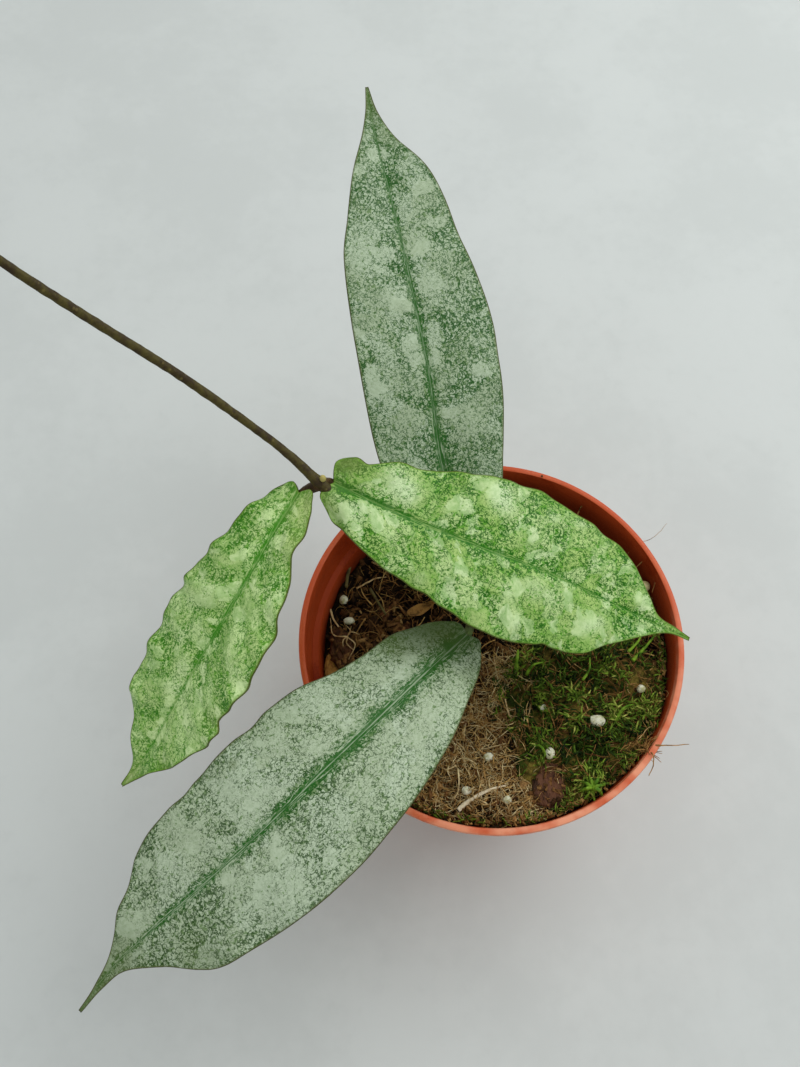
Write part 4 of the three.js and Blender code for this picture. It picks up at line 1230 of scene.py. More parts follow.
# %% Vine dimensions
SOIL_LEVEL = 82
STEM_FOOT = (-3, 9)
STEM_ROUTE = [
    ((*STEM_FOOT, SOIL_LEVEL - 35), 2), ((*STEM_FOOT, SOIL_LEVEL - 17.5), 2),
    ((*STEM_FOOT, SOIL_LEVEL + 3), 2),
    ((-4, 7, 94), 1.9), (LOWER_NODE, 1.9), ((-20, 10, 120), 1.7), ((-36, 17.5, 136), 1.5),
    (UPPER_NODE, 1.5), ((-61, 30.5, 163.5), 1.1), ((-80, 34, 189.5), 1.1), ((-95.5, 34, 213), 1.05),
    ((-107.5, 33.5, 233), 1), ((-118, 33, 254), 0.9), ((-126, 33, 276), 0.8),
]
SWELLINGS = [(LOWER_NODE, 0.8, 2.6), (UPPER_NODE, 0.35, 2.4)]
STEM_STEPS = 330
STEM_SIDES = 18

stem_line = SmoothLine([place for place, radius in STEM_ROUTE])
stem_radii = [radius for place, radius in STEM_ROUTE]


def stem_radius(share):
    """The stem's radius, which swells at its two nodes."""
    spot = stem_line.parameter(share) * (len(stem_radii) - 1)
    i = min(int(spot), len(stem_radii) - 2)
    radius = stem_radii[i] + (stem_radii[i + 1] - stem_radii[i]) * (spot - i)
    here = stem_line.at(share)
    for node, extra, reach in SWELLINGS:
        radius += extra * math.exp(-((here - Vector(node)).length / reach) ** 2)
    return radius


print("vine length in millimetres:", round(stem_line.length))

# %% Vine skin
vine_skin, tree, shader = new_material("vine_skin", 0.55, gloss=0.2)
place = object_place(tree)
bark = place_group(tree, mottle, Place=place, Scale=330.0, Grain_Scale=1600.0, Balance=0.52,
                   First=screen(76, 68, 24), Second=screen(52, 39, 15), Grain_Depth=0.3)
pores = add_node(tree, "ShaderNodeTexVoronoi", None, Vector=place, Scale=420.0)
pore = ease(tree, pores.outputs["Distance"], 0.2, 0.1)
colour = mix(tree, times(tree, pore, 0.3), bark["Color"], screen(132, 118, 66))
tree.links.new(colour, shader.inputs["Base Color"])
raise_surface(tree, shader, bark["Height"], 0.16)

# %% Build the vine
TIP_WIDTHS = [0.8, 1.1, 1.5, 2, 2.5, 2.6, 2.2, 1.8, 1.4, 0.9, 0.6, 0.4]
TIP_MIDRIBS = [
    [(-126, 33, 275), (-130, 32.5, 281), (-135.5, 32, 286), (-142, 32, 289)],
    [(-126, 33, 275), (-127, 33.5, 282), (-127.5, 34.5, 288), (-128.5, 36.5, 294)],
]
BUD_PLACE = (-49.2, 25.9, 152.4)
BUD_RADIUS = 0.9
TIP_ROWS = 30
TIP_COLUMNS = 12

bm = bmesh.new()
stem_verts = add_tube(bm, stem_line, stem_radius, STEM_STEPS, STEM_SIDES)
for vert in stem_verts:
    wobble = noise.noise(vert.co / 2.2) * 0.14
    vert.co += vert.normal * wobble
bud = bmesh.ops.create_uvsphere(
    bm, u_segments=16, v_segments=10, radius=BUD_RADIUS,
    matrix=Matrix.Translation(BUD_PLACE) @ Matrix.Diagonal((1, 1, 1.5, 1)))
for vert in bud["verts"]:
    for face in vert.link_faces:
        face.material_index = 1
bmesh.ops.recalc_face_normals(bm, faces=bm.faces)
bud_skin, tree, shader = new_material("bud_skin", 0.5, gloss=0.2)
shader.inputs["Base Color"].default_value = screen(172, 160, 92)
finish_piece("vine", bm, [vine_skin, bud_skin], ["stem"])

# %% Tiny leaves at the tip
TIP_LENGTH = 12
TIP_LOOK = {**YOUNG, "cover": 0.5, "patch_share": 0.1, "margin_width": 0.6}
bm = bmesh.new()
for seed, midrib in enumerate(TIP_MIDRIBS):
    leaf = dict(
        line=SmoothLine(midrib), left=TIP_WIDTHS, right=TIP_WIDTHS, tilt=(0, 0, 0), keel=0.3, droop=0,
        lobe=0, ripple=0, ripples=1, pucker=0, puckers=1, groove=0.1, bumps=0.05, vein=0.02, band=0.3,
        seed=seed, regions=[], olive=[], notches=[], smooth=1, rounding=0,
    )
    add_mesh_of(bm, blade_mesh(leaf, TIP_ROWS, TIP_COLUMNS))
bmesh.ops.recalc_face_normals(bm, faces=bm.faces)
tip_materials = [leaf_skin("tip_leaf_skin", TIP_LOOK, TIP_LENGTH), young_underside]
finish_piece("tip_leaves", bm, tip_materials, ["stem"])

# %% [markdown]
# ## The soil
#
# The pot is filled with fibrous peat. Its surface leans down to the left and to the back and is all
# lumps and hollows. It is spun like the pot, as one closed body under the surface, and then every
# vertex of the surface is lifted to the height of the ground with finer lumps on it.

# %% Ground height
GAP = 0.3
SOIL_SLOPE_X = 0.06
SOIL_SLOPE_Y = -0.09
MOSS_CENTRE = (31, -23)
MOSS_RADIUS = 27
MOSS_THICKNESS = 2.2


def soil_height(x, y):
    lean = SOIL_SLOPE_X * x + SOIL_SLOPE_Y * y
    swell = math.sin(x / 6.1 + 1.3) * math.cos(y / 7.3)
    crumbs = 0.6 * math.sin((x + y) / 4.1 + 0.4) + 0.5 * math.sin(x / 2.9) * math.sin(y / 3.1 + 1)
    return SOIL_LEVEL + lean + swell + crumbs


def moss_height(x, y):
    tufts = 0.7 * math.sin(x / 2.3 + 1) * math.sin(y / 2.7) + 0.5 * math.sin((x - y) / 3.7)
    return soil_height(x, y) + MOSS_THICKNESS + tufts


def ground_height(x, y):
    """The height of the ground as the loose pieces know it: moss inside its mat, soil elsewhere."""
    inside = math.hypot(x - MOSS_CENTRE[0], y - MOSS_CENTRE[1]) < MOSS_RADIUS - 3
    return moss_height(x, y) if inside else soil_height(x, y)


def lumps(x, y):
    """Fine lumps of peat on the soil, in millimetres."""
    coarse = noise.turbulence(Vector((x / 5, y / 5, 3)), 3, False)
    fine = noise.noise(Vector((x / 1.1, y / 1.1, 9)))
    return 1.6 * (coarse - 0.55) + 0.35 * fine


print("soil height in the middle:", round(soil_height(0, 0), 1))

# %% Zones of the soil
# Round zones of tan peat and of red-brown peat: where each lies, x and y, and its size.
TAN_ZONES = [(-8, -40, 17), (-2, -24, 12), (8, -50, 12), (-20, -48, 12), (5, -8, 8)]
RED_ZONES = [(44, -13.3, 6), (25, -21, 3.5), (17, -38, 4), (16, -43, 6), (-33, 10, 8), (-38, 3, 6),
             (12, -46, 5)]


def closeness(zones, x, y):
    """How much a place belongs to a group of round zones, from 0 to 1."""
    ragged = 5 * noise.noise(Vector((x / 6, y / 6, 5)))
    best = 0.0
    for centre_x, centre_y, size in zones:
        distance = math.hypot(x - centre_x, y - centre_y) + ragged
        best = max(best, 1 - clamp((distance - size * 0.6) / (size * 0.6)))
    return best


def wall_radius(height):
    return inside_radius(height) - GAP


# %% Soil finish
peat_finish, tree, shader = new_material("fibrous_peat", 0.9, gloss=0.1)
place = object_place(tree)
dark_peat = place_group(tree, mottle, Place=place, Scale=260.0, Grain_Scale=1500.0, Balance=0.5,
                        First=screen(92, 66, 38), Second=screen(46, 31, 16), Grain_Depth=0.5)
tan_peat = place_group(tree, mottle, Place=place, Scale=420.0, Grain_Scale=1900.0, Balance=0.55,
                       First=screen(198, 154, 88), Second=screen(92, 64, 30), Grain_Depth=0.7)
red_peat = place_group(tree, mottle, Place=place, Scale=380.0, Grain_Scale=1700.0, Balance=0.5,
                       First=screen(150, 92, 58), Second=screen(92, 54, 32), Grain_Depth=0.5)
colour = mix(tree, vertex_value(tree, "tan"), dark_peat["Color"], tan_peat["Color"])
colour = mix(tree, vertex_value(tree, "red"), colour, red_peat["Color"])
# Painted shade: the low places between the lumps are darkened nearly to black, a little less in the tan
# peat.
hollow = ease(tree, vertex_value(tree, "hollow"), 0.05, 0.8)
hollow = times(tree, hollow, sum_of(tree, "MULTIPLY_ADD", vertex_value(tree, "tan"), -0.05, 0.9))
colour = mix(tree, hollow, colour, screen(18, 12, 8))
tree.links.new(colour, shader.inputs["Base Color"])
raise_surface(tree, shader, tan_peat["Height"], 0.8)

# %% Build the soil
SURFACE_RINGS = 96
SOIL_STEPS = 300
SURFACE_EDGE = 57.4
SHOULDER = 81
SHOULDER_DROP = 1.5

profile = [(0, 2.3), (39.2, 2.3), (39.9, 3), (wall_radius(68), 68), (wall_radius(SHOULDER), SHOULDER)]
for ring in range(SURFACE_RINGS, -1, -1):
    profile.append((SURFACE_EDGE * ring / SURFACE_RINGS, SOIL_LEVEL))
bm = bmesh.new()
layers = {name: bm.verts.layers.float.new(name) for name in ("tan", "red", "hollow")}
spin_profile(bm, profile, SOIL_STEPS)
for vert in bm.verts:
    x, y, z = vert.co
    if z > SHOULDER + 0.5:
        lump = lumps(x, y)
        edge = min(1, (SURFACE_EDGE - math.hypot(x, y)) / 3)
        vert.co.z = soil_height(x, y) + lump * edge
        reach = wall_radius(vert.co.z) / max(math.hypot(x, y), 1e-6)
        if reach < 1:
            vert.co.x, vert.co.y = x * reach, y * reach
        # How low the place lies between the lumps, for the painted shade.
        vert[layers["hollow"]] = clamp(0.25 - lump)
    elif z > SHOULDER - 0.5:
        vert.co.z = min(SHOULDER, soil_height(x, y) - SHOULDER_DROP)
        reach = wall_radius(vert.co.z) / math.hypot(x, y)
        vert.co.x, vert.co.y = x * reach, y * reach
    vert[layers["tan"]] = closeness(TAN_ZONES, x, y)
    vert[layers["red"]] = closeness(RED_ZONES, x, y)
finish_piece("peat_soil", bm, [peat_finish], ["soil"])

# %% [markdown]
# ## Scattered pieces
#
# Peat is a tangle of fibres and crumbs, far too many to model one by one. A few small shapes are
# made, and copies of them are turned, sized and set on the ground at seeded random places. Each copy
# carries a tone from 0 to 1, which its finish turns into a colour, so that no two look alike.

# %% Gather copies of small shapes
def template(bm):
    """A bmesh as a small mesh that copies are made of."""
    bmesh.ops.recalc_face_normals(bm, faces=bm.faces)
    mesh = bpy.data.meshes.new("template")
    bm.to_mesh(mesh)
    bm.free()
    mesh.attributes.new("tone", "FLOAT", "POINT")
    return mesh


def gather(copies):
    """One bmesh with a copy of a template for each (template, matrix, tone)."""
    bm = bmesh.new()
    for shape, matrix, tone in copies:
        copy = shape.copy()
        copy.transform(matrix)
        copy.attributes["tone"].data.foreach_set("value", [tone] * len(copy.vertices))
        bm.from_mesh(copy)
        bpy.data.meshes.remove(copy)
    return bm


def lay(x, y, z, turn, rise=0.0, roll=0.0, size=1.0):
    """A matrix that sizes a shape, rolls it, tips its X end up by rise and turns it about Z."""
    return (Matrix.Translation((x, y, z)) @ Matrix.Rotation(turn, 4, "Z")
            @ Matrix.Rotation(-rise, 4, "Y") @ Matrix.Rotation(roll, 4, "X") @ Matrix.Scale(size, 4))


def spoke(centre, turn, reach):
    """The place at this reach from a centre, in the direction of the turn."""
    return centre[0] + reach * math.cos(turn), centre[1] + reach * math.sin(turn)


# %% Fibre and crumb shapes
FIBRE_STEPS = 5
FIBRE_SIDES = 3


def fibre_shape(bend, radius):
    """A fibre one millimetre long that starts at the origin, runs along X and bends to the side."""
    bm = bmesh.new()
    line = SmoothLine([(0, 0, 0), (0.35, bend, bend * 0.4), (0.7, bend * 0.6, 0), (1, -bend, bend * 0.3)])
    add_tube(bm, line, lambda share: radius * (1 - 0.6 * share), FIBRE_STEPS, FIBRE_SIDES)
    return template(bm)


def crumb_shape(seed):
    """A crumb of peat, about one millimetre in radius."""
    bm = bmesh.new()
    bmesh.ops.create_uvsphere(bm, u_segments=7, v_segments=5, radius=1)
    for vert in bm.verts:
        vert.co *= 1 + 0.7 * noise.noise(vert.co * 1.3 + Vector((seed, 0, 0)))
    return template(bm)


FIBRES = [fibre_shape(bend, radius) for bend in (-0.13, -0.04, 0.06, 0.2) for radius in (0.02, 0.036)]
CRUMB_SHAPES = 6
CRUMBS = [crumb_shape(seed) for seed in range(CRUMB_SHAPES)]
print("templates:", len(FIBRES), "fibres,", len(CRUMBS), "crumbs")

# %% Fibre and crumb finishes
def toned_finish(name, tones, roughness, scale, depth):
    """A finish whose colour follows each copy's tone, with mottled grain on it."""
    material, tree, shader = new_material(name, roughness, gloss=0.12)
    ramp = add_node(tree, "ShaderNodeValToRGB", None, Fac=vertex_value(tree, "tone"))
    ramp.color_ramp.elements[0].color = tones[0]
    ramp.color_ramp.elements[1].color = tones[-1]
    for number, tone in enumerate(tones[1:-1], start=1):
        ramp.color_ramp.elements.new(number / (len(tones) - 1)).color = tone
    body = place_group(tree, mottle, Place=object_place(tree), Scale=scale, Grain_Scale=scale * 4,
                       First=(1, 1, 1, 1), Second=(0.62, 0.57, 0.52, 1), Grain_Depth=0.3)
    tree.links.new(mix(tree, 1.0, ramp.outputs["Color"], body["Color"], "MULTIPLY"),
                   shader.inputs["Base Color"])
    raise_surface(tree, shader, body["Height"], depth)
    return material


fibre_finish = toned_finish(
    "peat_fibre", [screen(100, 66, 34), screen(172, 126, 70), screen(222, 184, 112), screen(250, 232, 178)],
    0.8, 900.0, 0.08)
crumb_finish = toned_finish(
    "peat_crumb", [screen(34, 23, 13), screen(88, 60, 34), screen(154, 110, 64), screen(210, 170, 108)],
    0.9, 1200.0, 0.3)

# %% Lay the fibres
FIBRE_COUNT = 4800
LONG_FIBRE_COUNT = 260
FULL_TURN = 6.28
draw = random.Random(7)


def random_place():
    """A random place on the ground, clear of the pot's wall."""
    while True:
        x, y = draw.uniform(-58, 58), draw.uniform(-58, 58)
        if math.hypot(x, y) < wall_radius(soil_height(x, y)) - 0.6:
            return x, y


def fibre_copies(count, shortest, longest, wanted):
    """Fibres laid on the soil where a draw falls under the wanted share of that place."""
    copies = []
    while len(copies) < count:
        x, y = random_place()
        if draw.random() > wanted(x, y):
            continue
        length = draw.uniform(shortest, longest)
        turn = draw.uniform(0, 2 * math.pi)
        end_x, end_y = spoke((x, y), turn, length)
        if math.hypot(end_x, end_y) > wall_radius(soil_height(x, y)) - 0.6:
            continue
        z = ground_height(x, y) + draw.uniform(-0.1, 0.9)
        rise = math.atan2(ground_height(end_x, end_y) + draw.uniform(0, 1.2) - z, length)
        tone = clamp(draw.gauss(0.26 + 0.46 * closeness(TAN_ZONES, x, y), 0.26))
        matrix = lay(x, y, z, turn, rise, draw.uniform(0, FULL_TURN), length)
        copies.append((draw.choice(FIBRES), matrix, tone))
    return copies


def fibre_wish(x, y):
    return 0.2 + 0.8 * closeness(TAN_ZONES, x, y)


fibres = fibre_copies(FIBRE_COUNT, 1.5, 6, fibre_wish)
fibres += fibre_copies(LONG_FIBRE_COUNT, 5, 11, lambda x, y: 0.6)
finish_piece("peat_fibres", gather(fibres), [fibre_finish])

# %% Strew the crumbs
CRUMB_COUNT = 500
FLAKE_COUNT = 2700
LUMP_COUNT = 220


def flake_shape(seed):
    """A thin chip of bark, about one millimetre long."""
    bm = bmesh.new()
    bmesh.ops.create_cube(bm, size=1, matrix=Matrix.Diagonal((1.4, 0.8, 0.25, 1)))
    for vert in bm.verts:
        vert.co += 0.5 * noise.noise_vector(vert.co * 2 + Vector((seed, 0, 0)))
    return template(bm)


FLAKE_SHAPES = 5
FLAKES = [flake_shape(seed) for seed in range(FLAKE_SHAPES)]


def crumb_copies(count, smallest, largest, shapes, wanted=lambda x, y: 1.0):
    copies = []
    while len(copies) < count:
        x, y = random_place()
        if draw.random() > wanted(x, y):
            continue
        size = smallest + (largest - smallest) * draw.random() ** 3
        z = soil_height(x, y) + lumps(x, y) * 0.8 + size * 0.2
        red = closeness(RED_ZONES, x, y)
        tone = clamp(draw.gauss(0.25 + 0.3 * red + 0.35 * closeness(TAN_ZONES, x, y), 0.22))
        matrix = lay(x, y, z, draw.uniform(0, FULL_TURN), draw.uniform(-0.6, 0.6),
                     draw.uniform(0, FULL_TURN), size)
        copies.append((draw.choice(shapes), matrix, tone))
    return copies


def red_wish(x, y):
    return closeness(RED_ZONES, x, y)


crumbs = crumb_copies(CRUMB_COUNT, 0.2, 0.7, CRUMBS) + crumb_copies(FLAKE_COUNT, 0.5, 2.5, FLAKES)
finish_piece("peat_crumbs", gather(crumbs), [crumb_finish])
lump_copies = crumb_copies(LUMP_COUNT, 0.6, 3.2, FLAKES, red_wish)
finish_piece("peat_lumps", gather(lump_copies), [crumb_finish])

# %% [markdown]
# ## The moss
#
# On the right the peat is covered by a low mat of dark wet moss, with brighter sprigs standing in
# it. The mat is a patch of grid that follows the soil and thins out to its uneven edge. The sprigs
# are copies of a few small shapes: a thin stem with pointed leaflets all round it. Narrow bent
# blades, each a copy too, stand among them.

# %% Moss mat
MOSS_CELLS = 110
MOSS_REACH = 34


def moss_outline(angle):
    return MOSS_RADIUS + 2 + 2.5 * math.sin(3 * angle + 1) + 1.8 * math.sin(7 * angle)


def moss_depth_in(x, y):
    """How far inside the mat's edge a place is, in millimetres."""
    from_centre = math.hypot(x - MOSS_CENTRE[0], y - MOSS_CENTRE[1])
    angle = math.atan2(y - MOSS_CENTRE[1], x - MOSS_CENTRE[0])
    return min(moss_outline(angle) - from_centre, wall_radius(soil_height(x, y)) - 0.2 - math.hypot(x, y))


bm = bmesh.new()
wet = bm.verts.layers.float.new("wet")
bmesh.ops.create_grid(bm, x_segments=MOSS_CELLS, y_segments=MOSS_CELLS, size=MOSS_REACH,
                      matrix=Matrix.Translation((*MOSS_CENTRE, 0)))
outside = [vert for vert in bm.verts if moss_depth_in(vert.co.x, vert.co.y) < 0]
bmesh.ops.delete(bm, geom=outside, context="VERTS")
for top, bottom in thicken(bm):
    x, y = top.co.x, top.co.y
    ragged = clamp(moss_depth_in(x, y) / 4 + 0.4 * noise.noise(Vector((x / 2, y / 2, 1))))
    clumps = 0.8 * noise.noise(Vector((x / 1.4, y / 1.4, 2))) + 0.5 * noise.noise(Vector((x, y, 4)) / 0.7)
    lift = (moss_height(x, y) - soil_height(x, y) - 0.6) * ragged
    bottom.co = (x, y, soil_height(x, y) - 1.4)
    top.co = (x, y, soil_height(x, y) - 0.4 + lift + clumps * ragged)
    top[wet] = clamp(0.5 + 0.9 * noise.noise(Vector((x / 7, y / 7, 8))) - closeness(RED_ZONES, x, y))
bmesh.ops.recalc_face_normals(bm, faces=bm.faces)
for face in bm.faces:
    face.material_index = 0

moss_finish, tree, shader = new_material("wet_moss", 0.85, gloss=0.1)
place = object_place(tree)
dark_moss = place_group(tree, mottle, Place=place, Scale=500.0, Grain_Scale=2200.0, Balance=0.5,
                        First=screen(66, 88, 24), Second=screen(16, 26, 6), Grain_Depth=0.7)
brown_moss = place_group(tree, mottle, Place=place, Scale=350.0, Grain_Scale=1800.0, Balance=0.5,
                         First=screen(142, 124, 54), Second=screen(66, 60, 20), Grain_Depth=0.5)
colour = mix(tree, ease(tree, vertex_value(tree, "wet"), 0.3, 0.6), brown_moss["Color"], dark_moss["Color"])
tree.links.new(colour, shader.inputs["Base Color"])
raise_surface(tree, shader, dark_moss["Height"], 0.7)
finish_piece("moss_mat", bm, [moss_finish], ["moss"])

# %% Moss sprigs
def sprig_shape(seed, leaflets, height):
    """A sprig one millimetre high at most: a stem with pointed leaflets round it."""
    pick = random.Random(seed)
    bm = bmesh.new()
    for number in range(leaflets):
        share = number / leaflets
        turn = number * 2.4
        out = 0.28 * (1.1 - share) * pick.uniform(0.8, 1.2)
        start = Vector((0, 0, height * share))
        end = start + Vector((math.cos(turn) * out, math.sin(turn) * out, 0.3 * height))
        middle = (start + end) / 2 + Vector((0, 0, -0.05))
        add_tube(bm, SmoothLine([start, middle, end]), lambda s: 0.045 * (1 - 0.9 * s) + 0.004, 2, 3)
    return template(bm)


def blade_shape(bend):
    """A narrow moss blade one millimetre long along X, which bends up and to the side."""
    bm = bmesh.new()
    line = SmoothLine([(0, 0, 0), (0.4, bend * 0.4, 0.12), (0.75, bend, 0.14), (1, bend * 1.8, 0.05)])
    add_tube(bm, line, lambda share: 0.095 * math.sin(math.pi * (0.2 + 0.78 * share)), 5, 3)
    return template(bm)


SPRIGS = [sprig_shape(seed, leaflets, height) for seed, leaflets, height in
          ((1, 8, 1.0), (2, 7, 0.7), (3, 9, 0.9), (4, 6, 1.2))]
BLADES = [blade_shape(bend) for bend in (-0.2, -0.08, 0.05, 0.16)]
sprig_finish = toned_finish(
    "moss_sprig", [screen(24, 42, 9), screen(74, 104, 28), screen(130, 164, 50), screen(208, 216, 108)],
    0.7, 1500.0, 0.05)
print("moss templates:", len(SPRIGS) + len(BLADES))

# %% Plant the sprigs and blades
SPRIG_COUNT = 1300
BLADE_COUNT = 2600
draw = random.Random(19)
# Round tufts of brighter moss: where each lies, x and y, and its size.
BRIGHT_TUFTS = [
    (29, -46, 4.5), (31.8, -43, 2.6), (15, -33.5, 3), (2, -34, 2), (8.5, -6.5, 2.5), (12, -5, 2.5),
    (33.5, -8, 3), (26.5, -17.5, 2.5), (39.5, -22, 3.5), (25.5, -26, 3), (48.5, -1, 4), (41.5, -38, 3),
    (18.5, -22.5, 3), (22, -50, 4), (40, -12, 2.5), (50, -22, 3),
]


def moss_copies(count, shapes, smallest, largest, lean, plain):
    """Copies that stand on the moss, most of them in the bright tufts."""
    copies = []
    while len(copies) < count:
        x, y = random_place()
        if moss_depth_in(x, y) < draw.uniform(-2.5, 1.5):
            continue
        bright = closeness(BRIGHT_TUFTS, x, y)
        drift = noise.noise(Vector((x / 4.5, y / 4.5, 12)))
        if draw.random() > plain + bright + 0.9 * drift - 0.5 * closeness(RED_ZONES, x, y):
            continue
        size = draw.uniform(smallest, largest)
        if math.hypot(x, y) + size * 0.8 > wall_radius(ground_height(x, y)):
            size = smallest * 0.6
        tone = clamp(draw.gauss(0.18 + 0.45 * bright + 0.5 * drift, 0.2))
        matrix = lay(x, y, ground_height(x, y) - 0.5, draw.uniform(0, FULL_TURN),
                     draw.uniform(*lean), draw.uniform(-0.7, 0.7), size)
        copies.append((draw.choice(shapes), matrix, tone))
    return copies


planted = moss_copies(SPRIG_COUNT, SPRIGS, 1.0, 3.0, (-0.7, 0.7), 0.3)
finish_piece("moss_sprigs", gather(planted), [sprig_finish])
planted = moss_copies(BLADE_COUNT, BLADES, 1.2, 4.2, (0.05, 0.8), 0.3)
finish_piece("moss_blades", gather(planted), [sprig_finish])

# %% [markdown]
# Where the ground is high, at the front and on the right, peat and moss fill the last gap to the
# pot's wall. A ring of short sprigs, blades and crumbs along the wall gives that ragged line.

# %% Fill the line along the wall
RING_FROM = math.radians(-165)
RING_TO = math.radians(40)


RING_BLADES = 420
RING_SPRIGS = 160
RING_FLAKES = 350
RING_FIBRES = 300


def ring_copies(count, shapes, smallest, largest, tones):
    copies = []
    for _ in range(count):
        angle = draw.uniform(RING_FROM, RING_TO)
        rough = wall_radius(LEDGE + 4)
        height = soil_height(rough * math.cos(angle), rough * math.sin(angle))
        out = wall_radius(height) - draw.uniform(0.3, 2.2)
        size = draw.uniform(smallest, largest)
        matrix = lay(out * math.cos(angle), out * math.sin(angle), height + draw.uniform(-0.3, 0.8),
                     angle + draw.uniform(1, 5.3), draw.uniform(0, 0.9), draw.uniform(-1, 1), size)
        copies.append((draw.choice(shapes), matrix, draw.uniform(*tones)))
    return copies


moss_line = ring_copies(RING_BLADES, BLADES, 1.0, 3.0, (0.1, 0.8))
moss_line += ring_copies(RING_SPRIGS, SPRIGS, 0.8, 1.8, (0.1, 0.7))
finish_piece("moss_line", gather(moss_line), [sprig_finish])
peat_line = ring_copies(RING_FLAKES, FLAKES, 0.4, 1.5, (0.0, 0.7))
peat_line += ring_copies(RING_FIBRES, FIBRES, 1.2, 3.5, (0.2, 1.0))
finish_piece("peat_line", gather(peat_line), [fibre_finish])

# %% [markdown]
# ## Loose pieces on the soil
#
# White grains of perlite, three chips of bark and wood, a dry twig and a curled dead leaf lie where
# the solids put them. A bead of slow-release plant food lies a millimetre nearer the wall and higher
# than its solid, so that the leaf over it leaves it in view. Grains start from a ball of triangles
# and chips from a block, and noise roughens them.

# %% Grains and chips
PERLITE = [
    (32, -25.5, (2.7, 1.9, 1.7)), (16.2, -20.8, (1.5, 1.3, 1.2)), (46.7, -15.2, (1.4, 1.3, 1.2)),
    (17, -35.2, (1.6, 1.9, 1.3)), (-1.2, -35.6, (1.8, 1.4, 1.2)), (3.6, -49, (1.4, 1.3, 1.2)),
    (-8.3, -45.9, (1.6, 1.4, 1.2)), (-47.2, 18, (1.5, 1.6, 1.3)), (-45.2, 10.5, (2, 1.3, 1.2)),
]
PERLITE_LIFT = 0.2
BARK_LIFT = 0.4
FEED_BEAD = (51.6, 19.6, 86.4, 1.8)
CHIPS = [
    ("bark_chip_left", "bark", -47.5, 0.5, (12, 7, 3), 100),
    ("bark_chip_front", "bark", 16.5, -44.5, (13, 9, 3.2), 75),
    ("wood_chip", "wood_chip", -50.6, -6.5, (10, 4, 2.2), 96),
]


def spotted_finish(name, first, second, scale, roughness, depth, stretch=(1, 1, 1)):
    """One mottled finish, with its pattern stretched where the grain runs one way."""
    material, tree, shader = new_material(name, roughness, gloss=0.15)
    place = add_node(tree, "ShaderNodeMapping", None, Vector=object_place(tree), Scale=stretch)
    body = place_group(tree, mottle, Place=place.outputs["Vector"], Scale=scale, Grain_Scale=scale * 4,
                       Balance=0.55, First=first, Second=second, Grain_Depth=0.3)
    tree.links.new(body["Color"], shader.inputs["Base Color"])
    raise_surface(tree, shader, body["Height"], depth)
    return material


perlite_finish = spotted_finish("perlite_grain", screen(230, 230, 204), screen(176, 174, 124), 500.0,
                                0.85, 0.25)
for number, (x, y, size) in enumerate(PERLITE, start=1):
    bm = bmesh.new()
    centre = Vector((x, y, ground_height(x, y) + PERLITE_LIFT))
    bmesh.ops.create_icosphere(bm, subdivisions=4, radius=1)
    for vert in bm.verts:
        coarse = noise.noise(vert.co * 1.6 + Vector((number * 3, 0, 0)))
        fine = noise.noise(vert.co * 5 + Vector((number, 0, 0)))
        vert.co *= 0.97 + 0.12 * coarse + 0.05 * fine
    bmesh.ops.scale(bm, vec=size, verts=bm.verts)
    bmesh.ops.translate(bm, vec=centre, verts=bm.verts)
    finish_piece(f"perlite_grain_{number}", bm, [perlite_finish], [f"perlite_{number}"])

# %% Plant food bead
bead_finish = spotted_finish("feed_coating", screen(224, 214, 158), screen(196, 184, 120), 300.0, 0.35,
                             0.05)
bm = bmesh.new()
bmesh.ops.create_uvsphere(bm, u_segments=40, v_segments=24, radius=FEED_BEAD[3],
                          matrix=Matrix.Translation(FEED_BEAD[:3]))
for vert in bm.verts:
    vert.co += vert.normal * 0.06 * noise.noise(vert.co * 0.9)
finish_piece("plant_food_bead", bm, [bead_finish], ["feed_bead"])

# %% Chips
CHIP_WIDTHS = [(-0.5, 0.55), (-0.3, 0.95), (0, 1), (0.28, 0.85), (0.5, 0.5)]
CHIP_LOOKS = {
    "bark_chip_left": (screen(92, 58, 36), screen(48, 28, 16)),
    "bark_chip_front": (screen(108, 72, 52), screen(52, 34, 24)),
    "wood_chip": (screen(196, 146, 74), screen(120, 80, 38)),
}


def chip_width(along):
    """How wide a chip is at a place from -0.5 to 0.5 along it, as a share of its width."""
    for (start, first), (end, second) in zip(CHIP_WIDTHS, CHIP_WIDTHS[1:]):
        if along <= end:
            return first + (second - first) * (along - start) / (end - start)
    return CHIP_WIDTHS[-1][1]


for name, slot, x, y, (long, wide, thick), turn in CHIPS:
    bm = bmesh.new()
    bmesh.ops.create_cube(bm, size=1)
    bmesh.ops.subdivide_edges(bm, edges=bm.edges, cuts=13, use_grid_fill=True)
    for vert in bm.verts:
        along = vert.co.x
        square = Vector((0, vert.co.y, vert.co.z))
        rounded = square.normalized() * 0.5 if square.length else square
        section = square.lerp(rounded * min(1, 2 * max(abs(square.y), abs(square.z))), 0.55)
        layered = 0.16 * noise.noise(Vector((along * 3, section.y * 3, section.z * 14)))
        rough = 1 + layered + 0.34 * noise.noise(Vector((along * 6, section.y * 5, section.z * 5 + x)))
        rough += 0.3 * noise.noise(Vector((along * 17, section.y * 11, section.z * 5 + y)))
        vert.co = Vector((along * long, section.y * wide * chip_width(along) * rough,
                          section.z * thick * rough))
    place = lay(x, y, ground_height(x, y) + BARK_LIFT, math.radians(turn))
    bmesh.ops.transform(bm, matrix=place, verts=bm.verts)
    first, second = CHIP_LOOKS[name]
    finish = spotted_finish(f"{name}_finish", first, second, 420.0, 0.85, 0.5, (1, 0.35, 1))
    finish_piece(f"{name}_dressed", bm, [finish], [name])

